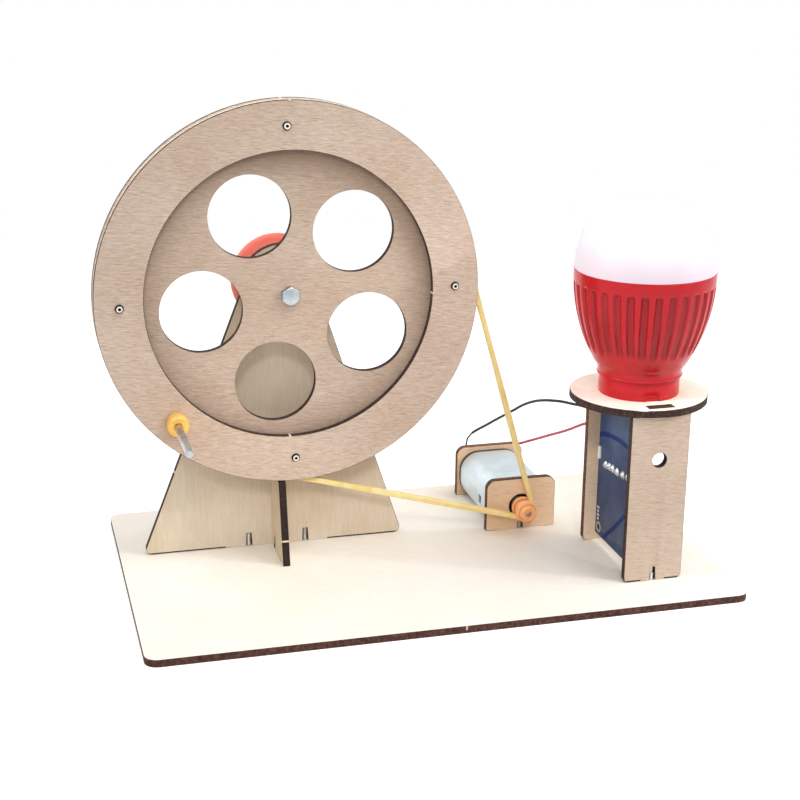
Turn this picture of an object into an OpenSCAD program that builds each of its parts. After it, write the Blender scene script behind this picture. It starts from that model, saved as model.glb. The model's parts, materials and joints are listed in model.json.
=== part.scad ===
// Hand crank generator kit: a laser-cut plywood base carries a large hand-cranked wheel on a
// keyhole-shaped stand, a belt drive to a small motor used as a dynamo, and a tower with a
// circuit board, a USB socket and a plug-in lamp.
// X runs along the base's front edge, Y points to the back, Z up; the origin is the middle of
// the base's underside. All sizes are in millimetres.

/* [Base] */
// Length of the base plate along its front edge
base_length = 238; // [220:1:280]
// Width of the base plate from front to back
base_width = 144; // [138:1:180]
// Corner radius of the base plate
base_corner = 5; // [1:0.5:15]
// Thickness of all plywood pieces
ply = 3; // [2.5:0.1:4]

/* [Wheel stand] */
// Axle's distance to the left of the base's middle
axle_left = 49; // [40:0.5:52]
// Height of the axle above the base's top face
axle_rise = 111.2; // [105:0.1:130]
// Front face of the stand, behind the base's middle
stand_back = 23.1; // [20:0.1:30]
// Foot of the stand to the left of the axle
foot_left = 60.3; // [45:0.1:66]
// Foot of the stand to the right of the axle
foot_right = 50.3; // [40:0.1:60]
// Neck of the stand to the left of the axle, at axle height
neck_left = 16.6; // [10:0.1:17]
// Neck of the stand to the right of the axle, at axle height
neck_right = 13.4; // [10:0.1:17]
// Radius of the stand's round head
head_radius = 17.8; // [15:0.1:22]
// Corner radius at the foot of the stand
foot_corner = 2.5; // [0.5:0.1:4]
// Fin's middle, to the left of the axle
fin_left = 4.8; // [0:0.1:10]
// Depth of the fin at its foot
fin_foot = 25; // [22:0.1:40]
// Depth of the fin at its top
fin_top = 17.2; // [6:0.1:22]
// Height of the fin above the base
fin_height = 34; // [15:0.5:34]

/* [Fasteners] */
// Radius of the wood screws' shanks
screw_radius = 1.05; // [0.9:0.05:1.2]
// Radius of the countersunk heads under the base
screw_head = 2; // [1.6:0.1:2.4]
// Depth of the countersunk heads
screw_sink = 1.1; // [0.8:0.1:1.5]
// How far the long screws reach into the uprights
screw_reach = 5.8; // [4:0.1:7]
// How far the tower's screws reach into its plates
tower_reach = 3; // [2.4:0.1:6]
// How far the short screws reach into the motor brackets
bracket_reach = 3.2; // [2.4:0.1:3.8]
// Width of the plywood left between two tabs for a screw
tab_gap = 5.2; // [4.6:0.1:6]

/* [Wheel] */
// Front face of the wheel, behind the base's middle
wheel_front = 6; // [4:0.1:9]
// Outer radius of the two rings
ring_radius = 76.8; // [75.5:0.1:77.5]
// Radius of the rings' openings
ring_opening = 57.7; // [55:0.1:60]
// Radius of the middle disc, the bottom of the belt groove
disc_radius = 71.6; // [70.5:0.1:73]
// Radius of the disc's round windows
window_radius = 16.4; // [8:0.1:17]
// Radius of the circle that the windows sit on
window_circle = 35.6; // [30:0.1:38]
// Number of windows
window_count = 5; // [3:1:5]
// Turn of the first window from the right-hand side
window_turn = 115.7; // [0:0.1:360]
// Radius of the circle that the wheel screws sit on
wheel_screw_circle = 67; // [64:0.1:68]
// Number of wheel screws
wheel_screw_count = 4; // [3:1:6]
// Turn of the first wheel screw from the right-hand side
wheel_screw_turn = 0.8; // [0:0.1:5]
// Radius of the wheel screws' shanks
wheel_screw_radius = 0.9; // [0.7:0.05:1.2]
// Radius of the wheel screws' heads
wheel_screw_head = 1.6; // [1.4:0.1:2.2]
// Height of the wheel screws' heads
wheel_screw_head_height = 1.2; // [0.8:0.1:1.6]
// Height of the wheel screws' nuts
wheel_nut_height = 1.6; // [1.2:0.1:2]

/* [Axle] */
// Radius of the axle bolt
axle_radius = 2; // [1.5:0.1:2.5]
// Width across the flats of the bolt's head and nut
axle_flats = 6.8; // [6.4:0.1:8]
// Height of the bolt's head
axle_head = 2.6; // [1.5:0.1:2.9]
// Height of the nut behind the disc
axle_nut_height = 3.2; // [2.5:0.1:4]
// Outer radius of the sleeve between the nut and the stand
sleeve_radius = 3.6; // [3:0.1:5]
// Outer radius of the moulded wheel behind the stand
rear_radius = 19; // [18.5:0.5:24]
// Width of its rounded rim
rear_rim = 9; // [6:0.1:10]
// Radial depth of its rim
rear_rim_depth = 6; // [4.6:0.1:8]
// Distance from the stand to its rim
rear_gap = 7.5; // [5:0.1:9]
// Radius of its hub
rear_hub = 4.6; // [4:0.1:6]
// Thickness of its web
rear_web = 2.4; // [1.5:0.1:4]

/* [Crank] */
// Radius of the circle that the crank pin runs on
crank_circle = 67.3; // [64:0.1:68]
// Turn of the crank pin from the right-hand side
crank_turn = 226.1; // [200:0.1:250]
// Radius of the crank pin
pin_radius = 1.5; // [1.2:0.1:1.8]
// How far the pin stands out in front of the wheel
pin_reach = 38; // [25:0.5:45]
// Radius of the collars on the pin
collar_radius = 4.4; // [3.5:0.1:5]
// Length of the front collar
collar_length = 5.5; // [4:0.1:8]
// Length of the collar behind the wheel
rear_collar_length = 4; // [3:0.1:5]

/* [Motor] */
// Motor shaft's distance to the right of the base's middle
motor_right = 52.4; // [48:0.1:54]
// Height of the motor shaft above the base's top face
motor_rise = 10.6; // [10.6:0.1:12]
// Front face of the front bracket, behind the base's middle
bracket_back = 14.5; // [14.3:0.1:15.2]
// Width of the two brackets
bracket_width = 31; // [29:0.1:33]
// Height of the brackets above the base
bracket_height = 23; // [22.2:0.1:26]
// Corner radius at the top of the brackets
bracket_corner = 4; // [1:0.1:6]
// Radius of the holes in the brackets
bracket_hole = 5.2; // [5:0.05:5.6]
// Width of the motor's can
can_width = 28.6; // [28.4:0.1:30]
// Height of the motor's can
can_height = 20.8; // [20.4:0.1:21]
// Corner radius of the can
can_corner = 8.4; // [8:0.1:8.8]
// Wall of the can
can_wall = 1; // [0.8:0.1:1.1]
// Length of the can
can_length = 39; // [38:0.5:41]
// Visible rim of the end cap
cap_rim = 2; // [1.5:0.1:2.5]
// Radius of the motor shaft
shaft_radius = 1; // [0.8:0.05:1.1]
// Radius of the armature
armature_radius = 8.6; // [8:0.1:8.8]
// Length of the armature's core
armature_length = 18; // [14:0.5:20]
// Radius of the commutator
commutator_radius = 2.6; // [2.2:0.1:3]
// Distance of each terminal from the shaft
terminal_offset = 10.2; // [9:0.1:11]

/* [Belt drive] */
// Radius of the round belt
belt_radius = 1; // [0.8:0.05:1.1]
// Radius at the bottom of the pulley's groove
pulley_root = 2.8; // [2.2:0.1:3.2]
// Width of the pulley's groove
pulley_groove = 2.8; // [2.7:0.05:3]
// Radius of the pulley's front flange
pulley_front = 4.6; // [4.2:0.1:5]
// Radius of the pulley's rear flange
pulley_rear = 4.6; // [4.2:0.1:5]
// Thickness of the pulley's front flange
pulley_front_width = 3.4; // [1.5:0.1:4]
// Thickness of the pulley's rear flange
pulley_rear_width = 1.5; // [1:0.1:2]
// Radius of the pulley's nose
pulley_nose = 3.3; // [2.4:0.1:3.8]
// Length of the pulley's nose
pulley_nose_length = 1.9; // [1:0.1:2.2]

/* [Tower] */
// Tower's middle to the right of the base's middle
tower_right = 86.4; // [84:0.1:90]
// Tower's middle in front of the base's middle
tower_front = 25.75; // [24:0.05:28]
// Distance between the outer faces of the two plates
tower_depth = 48.5; // [46:0.1:50]
// Width of the plates
plate_width = 24.6; // [22:0.1:30]
// Height of the plates under the table
plate_height = 70; // [68:0.5:80]
// Corner radius at the foot of the plates
plate_corner = 2; // [0.5:0.1:4]
// Width of the tabs at the top of the plates
top_tab = 11; // [8:0.1:14]
// Radius of the wire holes in the plates
wire_hole = 3; // [2.5:0.1:4]
// Height of the wire holes above the base
wire_hole_rise = 51.4; // [45:0.1:54]
// Radius of the round lamp table
table_radius = 27.6; // [26:0.1:32]
// Room left in the table's slots behind the plates' tabs
slot_room = 1.6; // [0:0.1:2]

/* [Circuit board] */
// Thickness of the circuit board
board_thick = 1.6; // [1:0.1:2]
// Lower edge of the board above the base
board_gap = 3.5; // [2:0.1:6]
// Radius of the two fixing holes near the board's lower corners
board_hole = 1.2; // [0.8:0.1:1.5]
// Distance of the fixing holes from the board's edges
board_hole_inset = 3.6; // [3:0.1:6]
// Radius of the inductor
inductor_radius = 4.6; // [3.5:0.1:6]
// Height of the inductor
inductor_height = 5.4; // [4:0.1:7]
// Height of the inductor's middle above the base
inductor_rise = 30; // [26:0.5:34]
// Radius of the capacitor
capacitor_radius = 3.15; // [2:0.05:4]
// Height of the capacitor
capacitor_height = 7.7; // [5:0.1:9]
// Height of the capacitor's middle above the base
capacitor_rise = 42; // [40:0.5:48]
// Capacitor's distance in front of the tower's middle
capacitor_side = 14; // [12:0.5:16]
// Height of the regulator's middle above the base
regulator_rise = 22; // [18:0.5:26]
// Regulator's distance behind the tower's middle
regulator_side = 13; // [11:0.5:15]
// Height of the diodes' middles above the base
diode_rise = 13; // [12:0.5:15]
// Distance between the diodes
diode_pitch = 7; // [5.8:0.1:8]
// Outer size of the USB socket across the plates
socket_width = 14.4; // [14:0.1:15]
// Outer depth of the USB socket
socket_depth = 7.4; // [7.2:0.1:7.8]
// Wall of the USB socket's shell
socket_wall = 0.4; // [0.3:0.05:0.5]
// Height of the USB socket's shell
socket_height = 14.6; // [14.4:0.1:16]
// Thickness of the moulding behind the socket
socket_back = 1.5; // [1:0.1:2]
// Thickness of the moulding under the socket
socket_floor = 2.5; // [2:0.1:3]

/* [Lamp] */
// Radius of the lamp's rim
lamp_radius = 28; // [27.5:0.1:30]
// Height of the red housing above the table
lamp_height = 50.3; // [48:0.1:54]
// Radius of the bowl's curved side
bowl_radius = 70; // [66:1:90]
// Straight height of the rim above the bowl
rim_height = 2.4; // [2:0.1:4]
// Height of the bowl's foot above the table
bowl_foot = 12.8; // [12:0.1:15]
// Radius of the neck
neck_radius = 17.2; // [16.8:0.1:18]
// Height where the neck starts to widen, above the table
neck_rise = 9.4; // [9:0.1:10.4]
// Radius of the lamp's foot collar
lamp_collar_radius = 16.2; // [15.6:0.1:16.6]
// Height of the foot collar
lamp_collar_height = 7.6; // [6.8:0.1:8.2]
// Wall of the lamp's housing
lamp_wall = 2; // [1.8:0.1:2.4]
// Number of cooling grooves around the housing
groove_count = 32; // [12:1:36]
// Width of the cooling grooves
groove_width = 2.7; // [1:0.1:3]
// Depth of the cooling grooves
groove_depth = 1; // [0.5:0.1:1.1]
// Lower end of the grooves above the table
groove_low = 18.2; // [17:0.1:22]
// Upper end of the grooves above the table
groove_high = 44.8; // [40:0.1:45.5]
// Wall of the white dome
dome_wall = 1.2; // [1:0.1:1.2]
// Straight skirt at the foot of the dome
dome_skirt = 0.8; // [0.4:0.1:2]
// Width of the USB plug
plug_width = 12; // [11.6:0.1:12.2]
// Thickness of the USB plug
plug_thick = 4.5; // [4.4:0.05:4.6]
// Length of the USB plug below the lamp
plug_length = 12.6; // [11:0.1:13]
// Wall of the USB plug's shell
plug_wall = 0.3; // [0.2:0.05:0.3]

/* [Clearances] */
// Radial running clearance of shafts in their holes
running = 0.05; // [0.02:0.01:0.1]
// Clearance between a belt and its groove, and between other moving faces
free_gap = 0.3; // [0.3:0.05:0.5]
// Clearance round tabs, screws and pressed pieces
snug = 0.05; // [0.02:0.01:0.1]

/* [Hidden] */
$fn = 48;
cut = 1;

// Colours
plywood_colour = "#d5bfa4";
steel_colour = "#c3cdd3";
orange_colour = "#f8ae50";
red_colour = "#c8323a";
board_colour = "#4a6385";

// Axle and wheel
axle_x = -axle_left;
axle_z = ply + axle_rise;
disc_front = wheel_front + ply;
disc_rear = disc_front + ply;
wheel_rear = disc_rear + ply;
fin_rise = min(fin_height, axle_rise - ring_radius - free_gap);
groove_y = disc_front + ply / 2;
wheel_screw_length = wheel_rear - wheel_front + wheel_nut_height + 0.5;
stand_rear = stand_back + ply;
rear_rim_front = stand_rear + rear_gap;
rear_end = rear_rim_front + rear_rim;
rear_hub_front = stand_rear + free_gap;

// Motor
motor_x = motor_right;
motor_z = ply + motor_rise;
can_front = bracket_back + ply;
can_rear = can_front + can_length;
cap_rear = can_rear + cap_rim;
rear_bracket_y = cap_rear;
rear_bracket_rear = rear_bracket_y + ply;
boss_front = bracket_back + 0.7;
boss_radius = 3.1;
bearing_radius = 2.5;
bearing_seat = bearing_radius + snug;
cap_boss = bracket_hole - free_gap;
cap_boss_end = rear_bracket_rear + 0.6;
armature_front = can_front + 8.5;
armature_rear = armature_front + armature_length;
winding_over = 2.5;
commutator_front = armature_rear + 5;
commutator_rear = commutator_front + 5.5;
shaft_rear = cap_boss_end - 1.4;
terminal_wide = 3;
terminal_thick = 0.5;
terminal_end = rear_bracket_rear + 4.5;
terminal_z = motor_z + 3.4;
terminal_top = terminal_z + terminal_wide / 2;

// Belt and pulley
belt_wheel = disc_radius + free_gap + belt_radius;
belt_pulley = pulley_root + free_gap + belt_radius;
belt_span = norm([motor_x - axle_x, motor_z - axle_z]);
belt_slope = atan2(motor_z - axle_z, motor_x - axle_x);
belt_wrap = acos((belt_wheel - belt_pulley) / belt_span);
belt_run = belt_span * sin(belt_wrap);
belt_thin = 0.02;
belt_lap = 0.2;
pulley_groove_front = groove_y - pulley_groove / 2;
pulley_groove_rear = groove_y + pulley_groove / 2;
pulley_end = pulley_groove_rear + pulley_rear_width;
pulley_start = pulley_groove_front - pulley_front_width - pulley_nose_length;

// Tower
tower_x = tower_right;
tower_y = -tower_front;
front_plate_y = tower_y - tower_depth / 2;
rear_plate_y = tower_y + tower_depth / 2 - ply;
table_z = ply + plate_height;
table_top = table_z + ply;
wire_hole_z = ply + wire_hole_rise;
board_right = tower_x - socket_depth / 2 - socket_back;
board_left = board_right - board_thick;
board_front = front_plate_y + ply;
board_low = ply + board_gap;
socket_top = table_top - 0.4;
socket_low = socket_top - socket_height;
socket_tongue = 1.5;
plug_part = 0.15;

// Lamp
lamp_z = table_top;
rim_z = lamp_z + lamp_height;
bowl_top = rim_z - rim_height;
bowl_low = lamp_z + bowl_foot;
neck_z = lamp_z + neck_rise;
collar_top = lamp_z + lamp_collar_height;
plate_seat = rim_z - 2;
plate_thick = 1.2;

// Uprights that stand in the base: place, turn, tabs and screws along their own foot
stand_tab_left = 26.3;
stand_tab_right = 17.5;
stand_screw_left = 16.1;
stand_screw_right = 8;
fin_screw = 6;
fin_tab_end = 20;
plate_tab = 5.1;
bracket_tab = 6;
half_gap = tab_gap / 2;
stand_foot = [
    [axle_x, stand_back, 0],
    [[-stand_tab_left, -stand_screw_left - half_gap],
     [-stand_screw_left + half_gap, stand_screw_right - half_gap],
     [stand_screw_right + half_gap, stand_tab_right]],
    [-stand_screw_left, stand_screw_right]
];
fin_foot_tabs = [
    [axle_x - fin_left - ply / 2, stand_back, -90],
    [[fin_screw + half_gap, fin_tab_end]],
    [fin_screw]
];
plate_tabs = [[-plate_tab, -half_gap], [half_gap, plate_tab]];
bracket_tabs = [[-bracket_tab, -half_gap], [half_gap, bracket_tab]];
front_plate_foot = [[tower_x, front_plate_y, 0], plate_tabs, [0]];
rear_plate_foot = [[tower_x, rear_plate_y, 0], plate_tabs, [0]];
front_bracket_foot = [[motor_x, bracket_back, 0], bracket_tabs, [0]];
rear_bracket_foot = [[motor_x, rear_bracket_y, 0], bracket_tabs, [0]];
stand_feet = [stand_foot, fin_foot_tabs];
tower_feet = [front_plate_foot, rear_plate_foot];
long_feet = concat(stand_feet, tower_feet);
bracket_feet = [front_bracket_foot, rear_bracket_foot];

// Wires: hand-chosen points from the motor's terminals to the board
wire_radius = 0.6;
black_route = [
    [motor_x - terminal_offset, 64.6, terminal_top], [motor_x - terminal_offset, 64.6, 21.4],
    [42.8, 63.9, 25.8], [43, 63.3, 28.3], [43.6, 62.2, 30], [44.6, 60.4, 32.2], [46.3, 57.2, 34.8],
    [48.4, 52.2, 38.3], [51.2, 45.8, 43], [53.5, 40, 47], [55.3, 35.6, 50.1], [57.1, 31, 53.4],
    [58.8, 26.4, 56.1], [60.7, 21.2, 58.5], [62.8, 16.6, 60], [65.1, 12.6, 60.9], [67.6, 9.4, 61.3],
    [70.9, 6.6, 61], [74.6, 4.9, 60.4], [78.2, 4, 59], [81.4, 3.3, 57.4], [83.4, 2.8, 56.4],
    [85, 1.7, 55.7], [85.9, 0.2, 55.3], [86.2, -1.6, 55.2], [86.2, -4.4, 55.2], [85.8, -6.3, 55.2],
    [84.7, -8, 55.2], [82.9, -9.2, 55.2], [board_right + snug, -9.3, 55.2]
];
red_route = [
    [motor_x + terminal_offset, 64.6, terminal_top], [62.7, 64.6, 20.4], [63.5, 64.5, 22.3],
    [65.4, 63.9, 23.8], [68.1, 61.6, 24.7], [70, 55.6, 27.7], [71.5, 48.8, 31], [72.8, 41.6, 34.5],
    [74, 34.2, 38], [74.9, 26.6, 41.5], [75.9, 19.2, 45.2], [76.6, 13.8, 48.1], [77.7, 9.4, 50.5],
    [79.4, 6, 52.3], [81.8, 4.1, 53.1], [84.2, 2.7, 53.4], [85.8, 1, 53.3], [86.5, -1.2, 53.2],
    [86.5, -4, 53.2], [86.1, -6, 53], [84.9, -7.8, 52.7], [83, -8.9, 52.5], [board_right + snug, -9, 52.4]
];

// Shared shapes

// A flat upright on its foot: the outline's own X runs along the foot, its Y is the height
module upright(foot) {
    translate([foot[0][0], foot[0][1], 0])
        rotate([0, 0, foot[0][2]])
            translate([0, ply, 0])
                rotate([90, 0, 0])
                    linear_extrude(ply)
                        children();
}

// A solid of revolution about a line along Y through x and z
module along_y(x, y, z) {
    translate([x, y, z])
        rotate([-90, 0, 0])
            children();
}

// A rectangle with rounded corners, centred
module rounded_rectangle(w, h, r) {
    square([w - 2 * r, h], center = true);
    square([w, h - 2 * r], center = true);
    for (sx = [-1, 1], sy = [-1, 1])
        translate([sx * (w / 2 - r), sy * (h / 2 - r)])
            circle(r);
}

// Tabs of an upright, down to the base's underside
module tab_outline(foot) {
    for (t = foot[1])
        translate([t[0], 0])
            square([t[1] - t[0], ply]);
}

// Open-ended slots for the screws in an upright's foot
module screw_slots(foot, reach) {
    for (u = foot[2])
        translate([u - screw_radius - snug, ply - cut])
            square([2 * (screw_radius + snug), reach + snug + cut]);
}

// Cuts through the base for an upright's tabs and screws
module foot_cuts(foot) {
    translate([foot[0][0], foot[0][1], 0])
        rotate([0, 0, foot[0][2]]) {
            for (t = foot[1])
                translate([t[0] - snug, -snug, -cut])
                    cube([t[1] - t[0] + 2 * snug, ply + 2 * snug, ply + 2 * cut]);
            for (u = foot[2])
                translate([u, ply / 2, 0])
                    screw_hole();
        }
}

// Countersunk hole for one screw in the base
module screw_hole() {
    translate([0, 0, -cut])
        cylinder(r = screw_radius + snug, h = ply + 2 * cut);
    translate([0, 0, -snug])
        cylinder(r1 = screw_head + 2 * snug, r2 = screw_radius + snug, h = screw_sink + snug);
}

// Countersunk screw from the base's underside up
module wood_screw(reach) {
    difference() {
        union() {
            cylinder(r1 = screw_head, r2 = screw_radius, h = screw_sink);
            cylinder(r = screw_radius, h = ply + reach);
        }
        for (turn = [0, 90])
            rotate([0, 0, turn])
                cube([2 * screw_radius, screw_radius / 3, screw_sink], center = true);
    }
}

// The screws of one upright
module foot_screws(foot, reach) {
    translate([foot[0][0], foot[0][1], 0])
        rotate([0, 0, foot[0][2]])
            for (u = foot[2])
                translate([u, ply / 2, 0])
                    wood_screw(reach);
}

// Places children at points on a circle about the wheel's axis, seen from the front
module on_wheel(radius, turn) {
    translate([axle_x + radius * cos(turn), 0, axle_z + radius * sin(turn)])
        children();
}

// A hole along Y through the wheel
module wheel_bore(r) {
    along_y(0, wheel_front - cut, 0)
        cylinder(r = r, h = wheel_rear - wheel_front + 2 * cut);
}

// Bores that all three layers of the wheel share
module wheel_bores() {
    for (i = [0:wheel_screw_count - 1])
        on_wheel(wheel_screw_circle, wheel_screw_turn + i * 360 / wheel_screw_count)
            wheel_bore(wheel_screw_radius + snug);
    on_wheel(crank_circle, crank_turn)
        wheel_bore(pin_radius + running);
}

// A flat ring of the wheel with its front face at y
module wheel_ring(y) {
    difference() {
        along_y(axle_x, y, axle_z)
            difference() {
                cylinder(r = ring_radius, h = ply, $fn = 180);
                translate([0, 0, -cut])
                    cylinder(r = ring_opening, h = ply + 2 * cut, $fn = 180);
            }
        wheel_bores();
    }
}

// Vectors, rounded corners of outlines, and tubes swept along a route of points
function unit(v) = v / norm(v);
function corner_arc(a, p, b, r, steps = 6) =
    let (
        u = unit(a - p),
        v = unit(b - p),
        half = acos(u * v) / 2,
        c = p + unit(u + v) * r / sin(half),
        first = p + u * r / tan(half) - c,
        last = p + v * r / tan(half) - c,
        from = atan2(first[1], first[0]),
        sweep = (atan2(last[1], last[0]) - from + 540) % 360 - 180
    )
    [for (i = [0:steps]) c + r * [cos(from + sweep * i / steps), sin(from + sweep * i / steps)]];
function heading(p, i) = unit(p[min(i + 1, len(p) - 1)] - p[max(i - 1, 0)]);
function side_of(d) = unit(cross(d, [1, 1, 1]));
module tube_along(p, r, sides = 8) {
    rings = [for (i = [0:len(p) - 1])
        let (d = heading(p, i), s = side_of(d), t = cross(d, s))
            for (k = [0:sides - 1]) p[i] + r * (cos(k * 360 / sides) * s + sin(k * 360 / sides) * t)];
    last = len(p) - 1;
    walls = [for (i = [0:last - 1], k = [0:sides - 1])
        let (n = (k + 1) % sides)
            each [[i * sides + k, (i + 1) * sides + k, i * sides + n],
                  [i * sides + n, (i + 1) * sides + k, (i + 1) * sides + n]]];
    start_cap = [for (k = [1:sides - 2]) [0, k, k + 1]];
    end_cap = [for (k = [1:sides - 2]) [last * sides, last * sides + k + 1, last * sides + k]];
    polyhedron(rings, concat(walls, start_cap, end_cap));
}

// Base and stand

module base_plate() {
    color("#f3e9d8")
        difference() {
            linear_extrude(ply)
                rounded_rectangle(base_length, base_width, base_corner);
            for (foot = concat(long_feet, bracket_feet))
                foot_cuts(foot);
        }
}

module wheel_stand() {
    left_foot = [-foot_left, ply];
    right_foot = [foot_right, ply];
    left_neck = [-neck_left, axle_z];
    right_neck = [neck_right, axle_z];
    color(plywood_colour)
        upright(stand_foot)
            difference() {
                union() {
                    polygon(concat(corner_arc(left_neck, left_foot, right_foot, foot_corner),
                        corner_arc(left_foot, right_foot, right_neck, foot_corner), [right_neck, left_neck]));
                    translate([0, axle_z])
                        circle(head_radius);
                    tab_outline(stand_foot);
                }
                translate([0, axle_z])
                    circle(axle_radius + running);
                screw_slots(stand_foot, screw_reach);
            }
}

module stand_fin() {
    color(plywood_colour)
        upright(fin_foot_tabs)
            difference() {
                union() {
                    polygon([[0, ply], [fin_foot, ply], [fin_top, ply + fin_rise], [0, ply + fin_rise]]);
                    tab_outline(fin_foot_tabs);
                }
                screw_slots(fin_foot_tabs, screw_reach);
            }
}

module base_screws() {
    color(steel_colour) {
        for (foot = stand_feet)
            foot_screws(foot, screw_reach);
        for (foot = tower_feet)
            foot_screws(foot, tower_reach);
    }
}

module bracket_screws() {
    color(steel_colour)
        for (foot = bracket_feet)
            foot_screws(foot, bracket_reach);
}

// Wheel

module wheel_front_ring() {
    color(plywood_colour)
        wheel_ring(wheel_front);
}

module wheel_disc() {
    color("#c6b299")
        difference() {
            along_y(axle_x, disc_front, axle_z)
                difference() {
                    cylinder(r = disc_radius, h = ply, $fn = 180);
                    for (i = [0:window_count - 1])
                        rotate([0, 0, -window_turn + i * 360 / window_count])
                            translate([window_circle, 0, -cut])
                                cylinder(r = window_radius, h = ply + 2 * cut, $fn = 90);
                    translate([0, 0, -cut])
                        cylinder(r = axle_radius + snug, h = ply + 2 * cut);
                }
            wheel_bores();
        }
}

module wheel_back_ring() {
    color(plywood_colour)
        wheel_ring(disc_rear);
}

module wheel_screws() {
    color(steel_colour)
        for (i = [0:wheel_screw_count - 1])
            on_wheel(wheel_screw_circle, wheel_screw_turn + i * 360 / wheel_screw_count)
                along_y(0, wheel_front, 0)
                    difference() {
                        union() {
                            translate([0, 0, -wheel_screw_head_height])
                                cylinder(r = wheel_screw_head, h = wheel_screw_head_height);
                            cylinder(r = wheel_screw_radius, h = wheel_screw_length);
                        }
                        translate([0, 0, -wheel_screw_head_height])
                            for (turn = [0, 90])
                                rotate([0, 0, turn])
                                    cube([1.6 * wheel_screw_head, 0.5, 1.2], center = true);
                    }
}

module wheel_nuts() {
    color(steel_colour)
        for (i = [0:wheel_screw_count - 1])
            on_wheel(wheel_screw_circle, wheel_screw_turn + i * 360 / wheel_screw_count)
                along_y(0, wheel_rear, 0)
                    difference() {
                        cylinder(r = 1.4 * wheel_screw_head, h = wheel_nut_height, $fn = 6);
                        translate([0, 0, -cut])
                            cylinder(r = wheel_screw_radius + snug, h = wheel_nut_height + 2 * cut);
                    }
}

// Axle and the moulded wheel behind the stand

module wheel_axle() {
    color(steel_colour)
        along_y(axle_x, disc_front, axle_z) {
            translate([0, 0, -axle_head])
                rotate([0, 0, 30])
                    cylinder(d = axle_flats / cos(30), h = axle_head, $fn = 6);
            translate([0, 0, -axle_head / 2])
                cylinder(r = axle_radius, h = rear_end - disc_front + axle_head / 2);
        }
}

module axle_nut() {
    color(steel_colour)
        along_y(axle_x, disc_rear, axle_z)
            difference() {
                cylinder(d = axle_flats / cos(30), h = axle_nut_height, $fn = 6);
                translate([0, 0, -cut])
                    cylinder(r = axle_radius + snug, h = axle_nut_height + 2 * cut);
            }
}

module axle_sleeve() {
    color("#e8e4da")
        along_y(axle_x, disc_rear + axle_nut_height, axle_z)
            difference() {
                cylinder(r = sleeve_radius, h = stand_back - free_gap - disc_rear - axle_nut_height);
                translate([0, 0, -cut])
                    cylinder(r = axle_radius + snug, h = stand_back - disc_rear + 2 * cut);
            }
}

module rear_wheel() {
    rim_inner = rear_radius - rear_rim_depth;
    edge = rear_rim / 2;
    color("#f2604a")
        along_y(axle_x, rear_rim_front, axle_z)
            rotate_extrude($fn = 96) {
                translate([rear_radius - edge, edge])
                    intersection() {
                        circle(edge);
                        square([edge, rear_rim], center = false);
                    }
                translate([rear_radius - edge, edge])
                    intersection() {
                        circle(edge);
                        translate([0, -edge])
                            square([edge, edge]);
                    }
                translate([rim_inner, 0])
                    square([rear_rim_depth - edge, rear_rim]);
                translate([rear_hub - cut, edge - rear_web / 2])
                    square([rim_inner - rear_hub + 2 * cut, rear_web]);
                translate([axle_radius + snug, rear_hub_front - rear_rim_front])
                    square([rear_hub - axle_radius - snug, rear_end - rear_hub_front]);
            }
}

// Crank

module crank_pin() {
    rear = wheel_rear + free_gap + rear_collar_length;
    color(steel_colour)
        on_wheel(crank_circle, crank_turn)
            along_y(0, wheel_front - pin_reach, 0)
                cylinder(r = pin_radius, h = rear - wheel_front + pin_reach);
}

module crank_collar() {
    round_end = 1.2;
    color(orange_colour)
        on_wheel(crank_circle, crank_turn)
            along_y(0, wheel_front - free_gap - collar_length, 0)
                rotate_extrude() {
                    translate([pin_radius + snug, round_end])
                        square([collar_radius - pin_radius - snug, collar_length - round_end]);
                    translate([pin_radius + snug, 0])
                        square([collar_radius - round_end - pin_radius - snug, collar_length]);
                    translate([collar_radius - round_end, round_end])
                        circle(round_end);
                }
}

module crank_rear_collar() {
    color(orange_colour)
        on_wheel(crank_circle, crank_turn)
            along_y(0, wheel_rear + free_gap, 0)
                difference() {
                    cylinder(r = collar_radius, h = rear_collar_length);
                    translate([0, 0, -cut])
                        cylinder(r = pin_radius + snug, h = rear_collar_length + 2 * cut);
                }
}

// Motor

// Outline of a bracket: a plate with two rounded top corners
module bracket_outline(foot) {
    difference() {
        union() {
            translate([-bracket_width / 2, ply])
                square([bracket_width, bracket_height - bracket_corner]);
            translate([0, ply + bracket_height / 2])
                rounded_rectangle(bracket_width, bracket_height, bracket_corner);
            tab_outline(foot);
        }
        translate([0, motor_z])
            circle(bracket_hole);
        screw_slots(foot, bracket_reach);
    }
}

module motor_front_bracket() {
    color(plywood_colour)
        upright(front_bracket_foot)
            bracket_outline(front_bracket_foot);
}

module motor_rear_bracket() {
    color(plywood_colour)
        upright(rear_bracket_foot)
            difference() {
                bracket_outline(rear_bracket_foot);
                for (s = [-1, 1])
                    translate([s * terminal_offset, terminal_z])
                        square([terminal_thick + 1.5, terminal_wide + 1.4], center = true);
            }
}

module motor_can() {
    vent_y = 10.5;
    vent_drop = 0.8;
    vent = [can_corner, 3.4, 3.6];
    color("#d5dfe6")
        difference() {
            along_y(motor_x, can_front, motor_z)
                difference() {
                    union() {
                        linear_extrude(can_length)
                            rounded_rectangle(can_width, can_height, can_corner);
                        translate([0, 0, boss_front - can_front])
                            cylinder(r = boss_radius, h = can_front - boss_front + cut);
                    }
                    translate([0, 0, can_wall])
                        linear_extrude(can_length)
                            rounded_rectangle(can_width - 2 * can_wall, can_height - 2 * can_wall,
                                can_corner - can_wall);
                    translate([0, 0, boss_front - can_front - cut])
                        cylinder(r = bearing_seat, h = can_front - boss_front + can_wall + 2 * cut);
                }
            for (s = [-1, 1])
                translate([motor_x + s * can_width / 2, can_front + vent_y, motor_z - vent_drop])
                    cube(vent, center = true);
        }
}

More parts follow.
